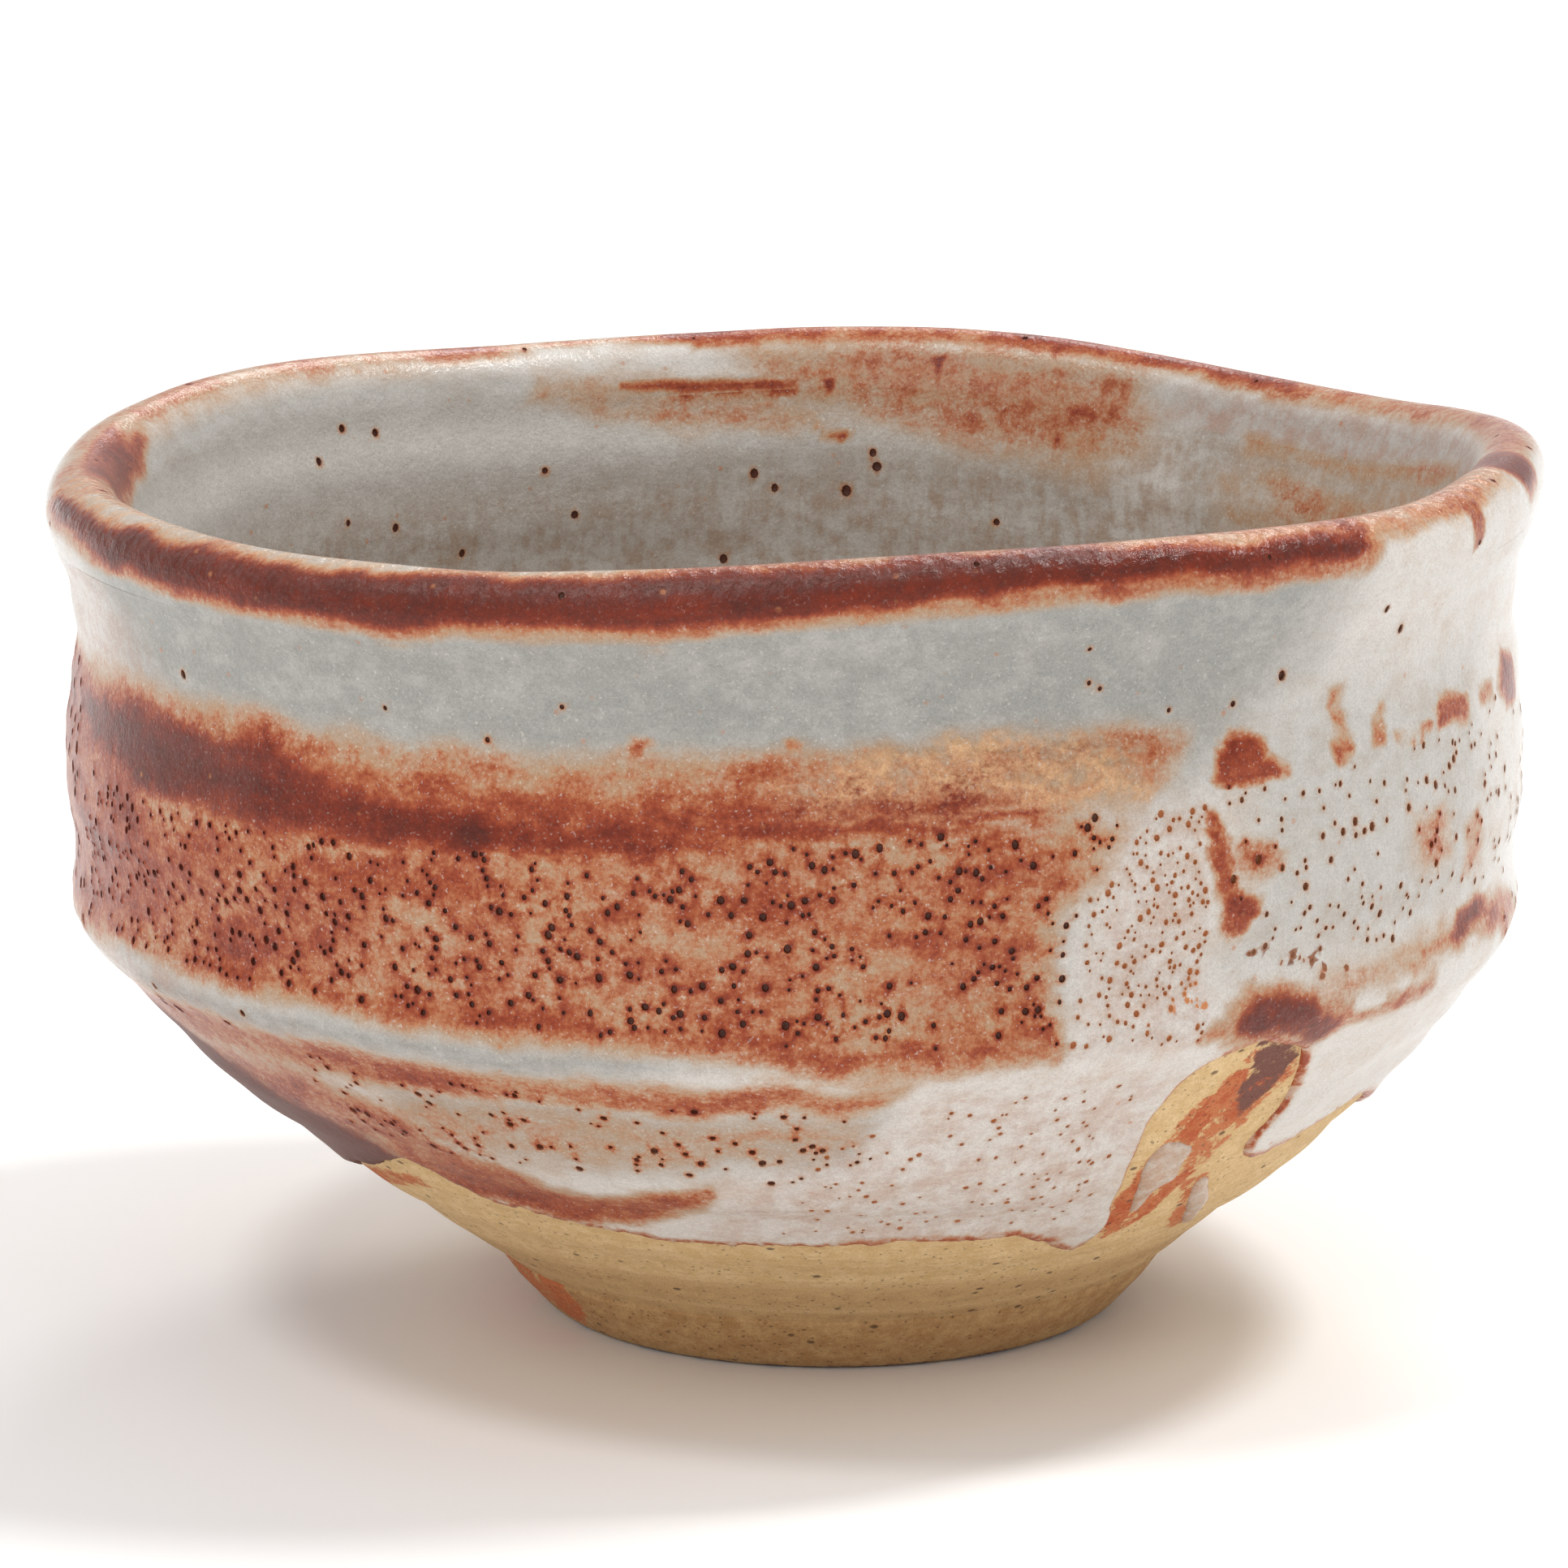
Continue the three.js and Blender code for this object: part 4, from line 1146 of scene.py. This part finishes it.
footShape = {"flare": 4.6, "contact": 3.2, "ringWidth": 8.4}
outside = form["footRadius"] - footShape["flare"]
contactInside = outside - footShape["contact"] - 0.9
recess = form["footRadius"] - footShape["ringWidth"]
footLine = smoothLine([(contactInside + 0.2, 0.0), (outside - 1.5, 0.0), (outside - 0.6, 0.12), (outside + 0.15, 0.5),
                       (outside + 1.2, 1.5), (outside + 1.9, 2.3), (outside + 3.1, 3.6),
                       (form["footRadius"] - 0.8, 4.6), (form["footRadius"] - 0.45, 5.1),
                       (form["footRadius"] - 0.4, form["footHeight"])], 8)
footInner = smoothLine([(recess, form["footHeight"]), (recess - 0.05, 2.6), (recess - 0.02, 1.2),
                        (contactInside - 0.1, 0.35), (contactInside + 0.2, 0.0)], 6)
footRows = [(r, max(z, 0.0), None, 0) for r, z in np.vstack([footLine, footInner[:-1]])]
foot = turnedGrid("foot_trimmed", footRows, 480, False, False, ring=True)
smoothShade(foot, 50)
xyz = vertexArray(foot)
angle, r, z = unplace(xyz)
setAttribute(foot, "flash", painted(angle, z, [(0.62, 0.9, [
    (-122, 3.2), (-108, 6.6), (-80, 6.6), (-52, 6.2), (-49, 3.0), (-56, 0.6), (-70, 1.8), (-84, 0.6), (-98, 2.4),
    (-110, 1.2)])]))
# The bottom 0.7 mm of the foot, where it stands on the floor, is made darker all round.
setAttribute(foot, "smoke", (1 - smoothStep(z, 0.1, 0.7)) * 0.46)
# The whole foot darker: partly the clay's own tone, partly painted shade.
setAttribute(foot, "low", np.full(len(z), 0.4))
setAttribute(foot, "foot", 0.9 * np.ones(len(z)))
foot.data.materials.append(footMaterial)
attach(foot, "root"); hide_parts("foot_ring")
print("foot ring:", len(foot.data.polygons))


def coatRows(low, high, fineRows, coarseRows, closedTip=False):
    over = [liftedRow(s, form["coat"]) for s in np.linspace(low, high, fineRows)]
    under = [liftedRow(s, -0.4) for s in np.linspace(high, low, coarseRows)]
    return over + under


rng = np.random.default_rng(12)
rim = turnedGrid("lip_band", coatRows(bandOutside, bandInside, 34, 8), 720, False, False, ring=True)
lipHoles = []
while len(lipHoles) < 26:
    spot = (rng.uniform(-178, 178), bandOutside + rng.uniform(0.8, 6.6), rng.uniform(0.14, 0.30))
    if all(math.hypot((spot[0] - h["angle"]) * mmPerDegree, spot[1] - h["s"]) > 1.5 for h in lipHoles):
        lipHoles.append({"angle": spot[0], "s": spot[1], "radius": spot[2], "dark": 1.0})
lipCentre, lipNormal = sinkPinholes(rim, lipHoles, form["coat"], rimMaterial, rng)
smoothShade(rim, 42)
paintGlaze(rim, "lip", lipHoles, lipCentre, lipNormal)
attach(rim, "root"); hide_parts("rim_glaze")
print("lip band:", len(rim.data.polygons))

innerRows = [liftedRow(s, form["coat"]) for s in np.linspace(bandInside, along[-1], 110)]
innerRows += [liftedRow(s, -0.4) for s in np.linspace(along[-1], bandInside, 24)]
lining = turnedGrid("inner_coat", innerRows, 540, False, False, ring=True)
weld(lining)
innerHoles = [{"angle": a, "s": float(alongInside(h)), "radius": size, "dark": 1.0} for a, h, size in innerPinholes]
innerCentre, innerNormal = sinkPinholes(lining, innerHoles, form["coat"], innerMaterial, rng)
smoothShade(lining, 42)
paintGlaze(lining, "inside", innerHoles, innerCentre, innerNormal)
lining.data.materials.append(innerMaterial)
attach(lining, "root"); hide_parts("inner_glaze")
print("inner coat:", len(lining.data.polygons))


# ---------- the outer coat ----------

edgeLine = roundedLine(glazeEdge, 2)
edgeLine = resampled(edgeLine, lambda a: 0.45 if -100 < a < 100 else 1.1)
wiggle = np.array([noise.fractal((p[0] * 0.33, p[1] * 0.4, 5.0), 1.0, 2.0, 3) for p in edgeLine])
wiggle += 0.5 * np.array([noise.noise((p[0] * 1.6, p[1] * 1.6, 9.0)) for p in edgeLine])
fade = smoothStep(180 - np.abs(edgeLine[:, 0]), 2, 14)
edgeLine[:, 1] += 0.42 * wiggle * fade
edgeLine[0, 1] = edgeLine[-1, 1]
edgeAlong = np.stack([edgeLine[:, 0], alongOutside(edgeLine[:, 1])], 1)


def outerRelief(angle, s, base):
    z = np.interp(s, along, sectionLine[:, 1])
    crawl = painted(angle, z, crawlPatches)
    bumps = np.zeros(len(angle))
    for k in np.nonzero(crawl > 0.02)[0]:
        p = base[k] / mm * 0.75
        near = noise.voronoi((p[0], p[1], p[2]))[0]
        bumps[k] = crawl[k] * (0.34 * min(near[1] - near[0], 0.5) - 0.10)
    return bumps


topRow = rowPoints(bandOutside, 0.9)
topRow = np.concatenate([[-180], topRow[np.abs(topRow) < 179.5], [180]])
top = np.stack([topRow, np.full(len(topRow), bandOutside)], 1)
sideStations = np.linspace(edgeAlong[0, 1], bandOutside, 40)[1:-1]
rightSide = np.stack([np.full(len(sideStations), 180.0), sideStations], 1)
leftSide = np.stack([np.full(len(sideStations), -180.0), sideStations[::-1]], 1)
outline = np.vstack([edgeAlong, rightSide, top[::-1], leftSide])
sides = [False] * (len(edgeAlong) - 1) + [True] * (len(rightSide) + 1)
sides += [False] * (len(top) - 1) + [True] * (len(leftSide) + 1)
flatEdgeAlong = edgeAlong * [mmPerDegree, 1]
holes = scatterPinholes(np.random.default_rng(7), pinholeFields, alongOutside,
                        lambda p: 9.0 if p[1] > 40 else float(lineDistance(p[None, :], flatEdgeAlong)[0]))
holes = [h for h in holes if h["s"] < bandOutside - 1.3 and abs(h["angle"]) < 177]
for h in holes:
    spot = np.array([[h["angle"] * mmPerDegree, h["s"]]])
    h["fromEdge"] = 99.0 if h["s"] > 45 else float(lineDistance(spot, flatEdgeAlong)[0])
print("pinholes:", len(holes))
inner = scatterRows(edgeAlong[:, 1].min() + 0.6, bandOutside, 1.0, np.random.default_rng(3),
                    denser=[([(-3, 53.8), (-3, 60.8), (12, 61.6), (27, 61), (28.5, 54)], 0.5)])
outer = glazeShell("outer_coat", outline, sides, edgeAlong, False, inner, form["coat"], holes, outerRelief)
print("outer coat before pinholes:", len(outer.data.polygons))
centre, normal = sinkPinholes(outer, holes, form["coat"], outerMaterial, np.random.default_rng(21))
weld(outer, 1e-7)
smoothShade(outer, 42)
paintGlaze(outer, "outside", holes, centre, normal, edgeAlong)
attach(outer, "root"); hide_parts("outer_glaze")
print("outer coat:", sum(len(p.vertices) - 2 for p in outer.data.polygons), "triangles")


# ---------- three loose drops of glaze ----------

dropOutlines = {
    "notch_glaze_drop": [(32.4, 23.0), (33.0, 24.6), (34.6, 25.0), (36.2, 24.2), (37.6, 23.6), (37.2, 21.8), (37.9, 20.4),
                         (36.2, 19.6), (36.0, 17.8), (34.6, 16.6), (34.2, 18.6), (33.0, 20.6)],
    "trailing_glaze_drop": [(42.2, 19.0), (43.6, 19.4), (45.4, 17.8), (47.6, 16.4), (49.8, 14.6), (50.6, 13.2),
                            (49.8, 12.8), (47.8, 13.8), (45.6, 15.3), (43.2, 16.8)],
    "side_glaze_drop": [(80.5, 9.2), (83, 10.2), (87, 9.9), (91.2, 9.3), (92.6, 8.2), (90, 7.3), (86, 7.1), (82, 7.5)],
}
for name, points in dropOutlines.items():
    loop = roundedLine(points[::-1], 2, closed=True)
    loop = resampled(np.vstack([loop, loop[:1]]), lambda a: 0.4)[:-1]
    loop = loop + 0.16 * np.stack([[noise.noise((p[0] * 0.9, p[1] * 0.9, 3.0)) for p in loop],
                                   [noise.noise((p[0] * 0.9, p[1] * 0.9, 7.0)) for p in loop]], 1)
    if np.dot(loop[:, 0], np.roll(loop[:, 1], -1)) - np.dot(loop[:, 1], np.roll(loop[:, 0], -1)) < 0:
        loop = loop[::-1]
    loopAlong = np.stack([loop[:, 0], alongOutside(loop[:, 1])], 1)
    gx, gy = np.meshgrid(np.arange(loop[:, 0].min(), loop[:, 0].max(), 0.45),
                         np.arange(loopAlong[:, 1].min(), loopAlong[:, 1].max(), 0.45))
    inside = np.stack([gx.ravel(), gy.ravel()], 1)
    inside = inside[insidePolygon(inside, loopAlong)]
    drop = glazeShell(name + "_bead", loopAlong, [False] * len(loopAlong), loopAlong, True, inside, 0.6,
                      underStep=1.5)
    smoothShade(drop, 60)
    paintGlaze(drop)
    xyz = vertexArray(drop)
    setAttribute(drop, "blush", np.full(len(xyz), 0.75))
    setAttribute(drop, "iron", np.full(len(xyz), 0.22))
    drop.data.materials.append(dropMaterial)
    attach(drop, "root"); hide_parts(name)
print("drops made")


# ---------- floor, light and camera ----------

floor = meshObject("floor", [(-6, -3, 0), (6, -3, 0), (6, 9, 0), (-6, 9, 0)], [(0, 1, 2, 3)])
sh = Shader("floor")
floorTone = sh.noise(sh.place((0.02, 0.02, 0.02)), 1.0, 2.0)
floor.data.materials.append(sh.finish(sh.mix(sh.ease(floorTone, 0.3, 0.7, 0.0, 0.3), rgb(0.97, 0.97, 0.97),
                                             rgb(0.94, 0.94, 0.935)), 0.6, floorTone * 0.02, 0.001))

world = bpy.data.worlds.new("studio")
bpy.context.scene.world = world
world.use_nodes = True
world.node_tree.nodes["Background"].inputs["Color"].default_value = (1.0, 0.992, 0.982, 1)
world.node_tree.nodes["Background"].inputs["Strength"].default_value = 0.66


def sunLight(name, towards, spread, power, colour):
    data = bpy.data.lights.new(name, "SUN")
    data.angle, data.energy, data.color = math.radians(spread), power, colour
    light = bpy.data.objects.new(name, data)
    bpy.context.scene.collection.objects.link(light)
    light.rotation_euler = Vector(towards).to_track_quat("Z", "Y").to_euler()


sunLight("key", (0.48, 0.12, 0.86), 10, 1.40, (1.0, 1.0, 0.99))
sunLight("front left", (-0.36, -0.24, 0.90), 12, 0.72, (1.0, 0.99, 0.97))
sunLight("behind", (0.12, 0.78, 0.60), 14, 0.45, (1.0, 1.0, 1.0))
sunLight("sparkle", (-0.42, -0.74, 0.50), 14, 0.30, (1.0, 1.0, 1.0))

camera = bpy.data.objects.new("camera", bpy.data.cameras.new("camera"))
bpy.context.scene.collection.objects.link(camera)
camera.data.lens = 163.4
camera.data.clip_start = 0.05
camera.location = (0, -0.6, 0.1743)
camera.rotation_euler = (Vector((-0.00096, 0, 0.0451)) - camera.location).to_track_quat("-Z", "Y").to_euler()
bpy.context.scene.camera = camera
bpy.context.scene.view_settings.view_transform = "Standard"
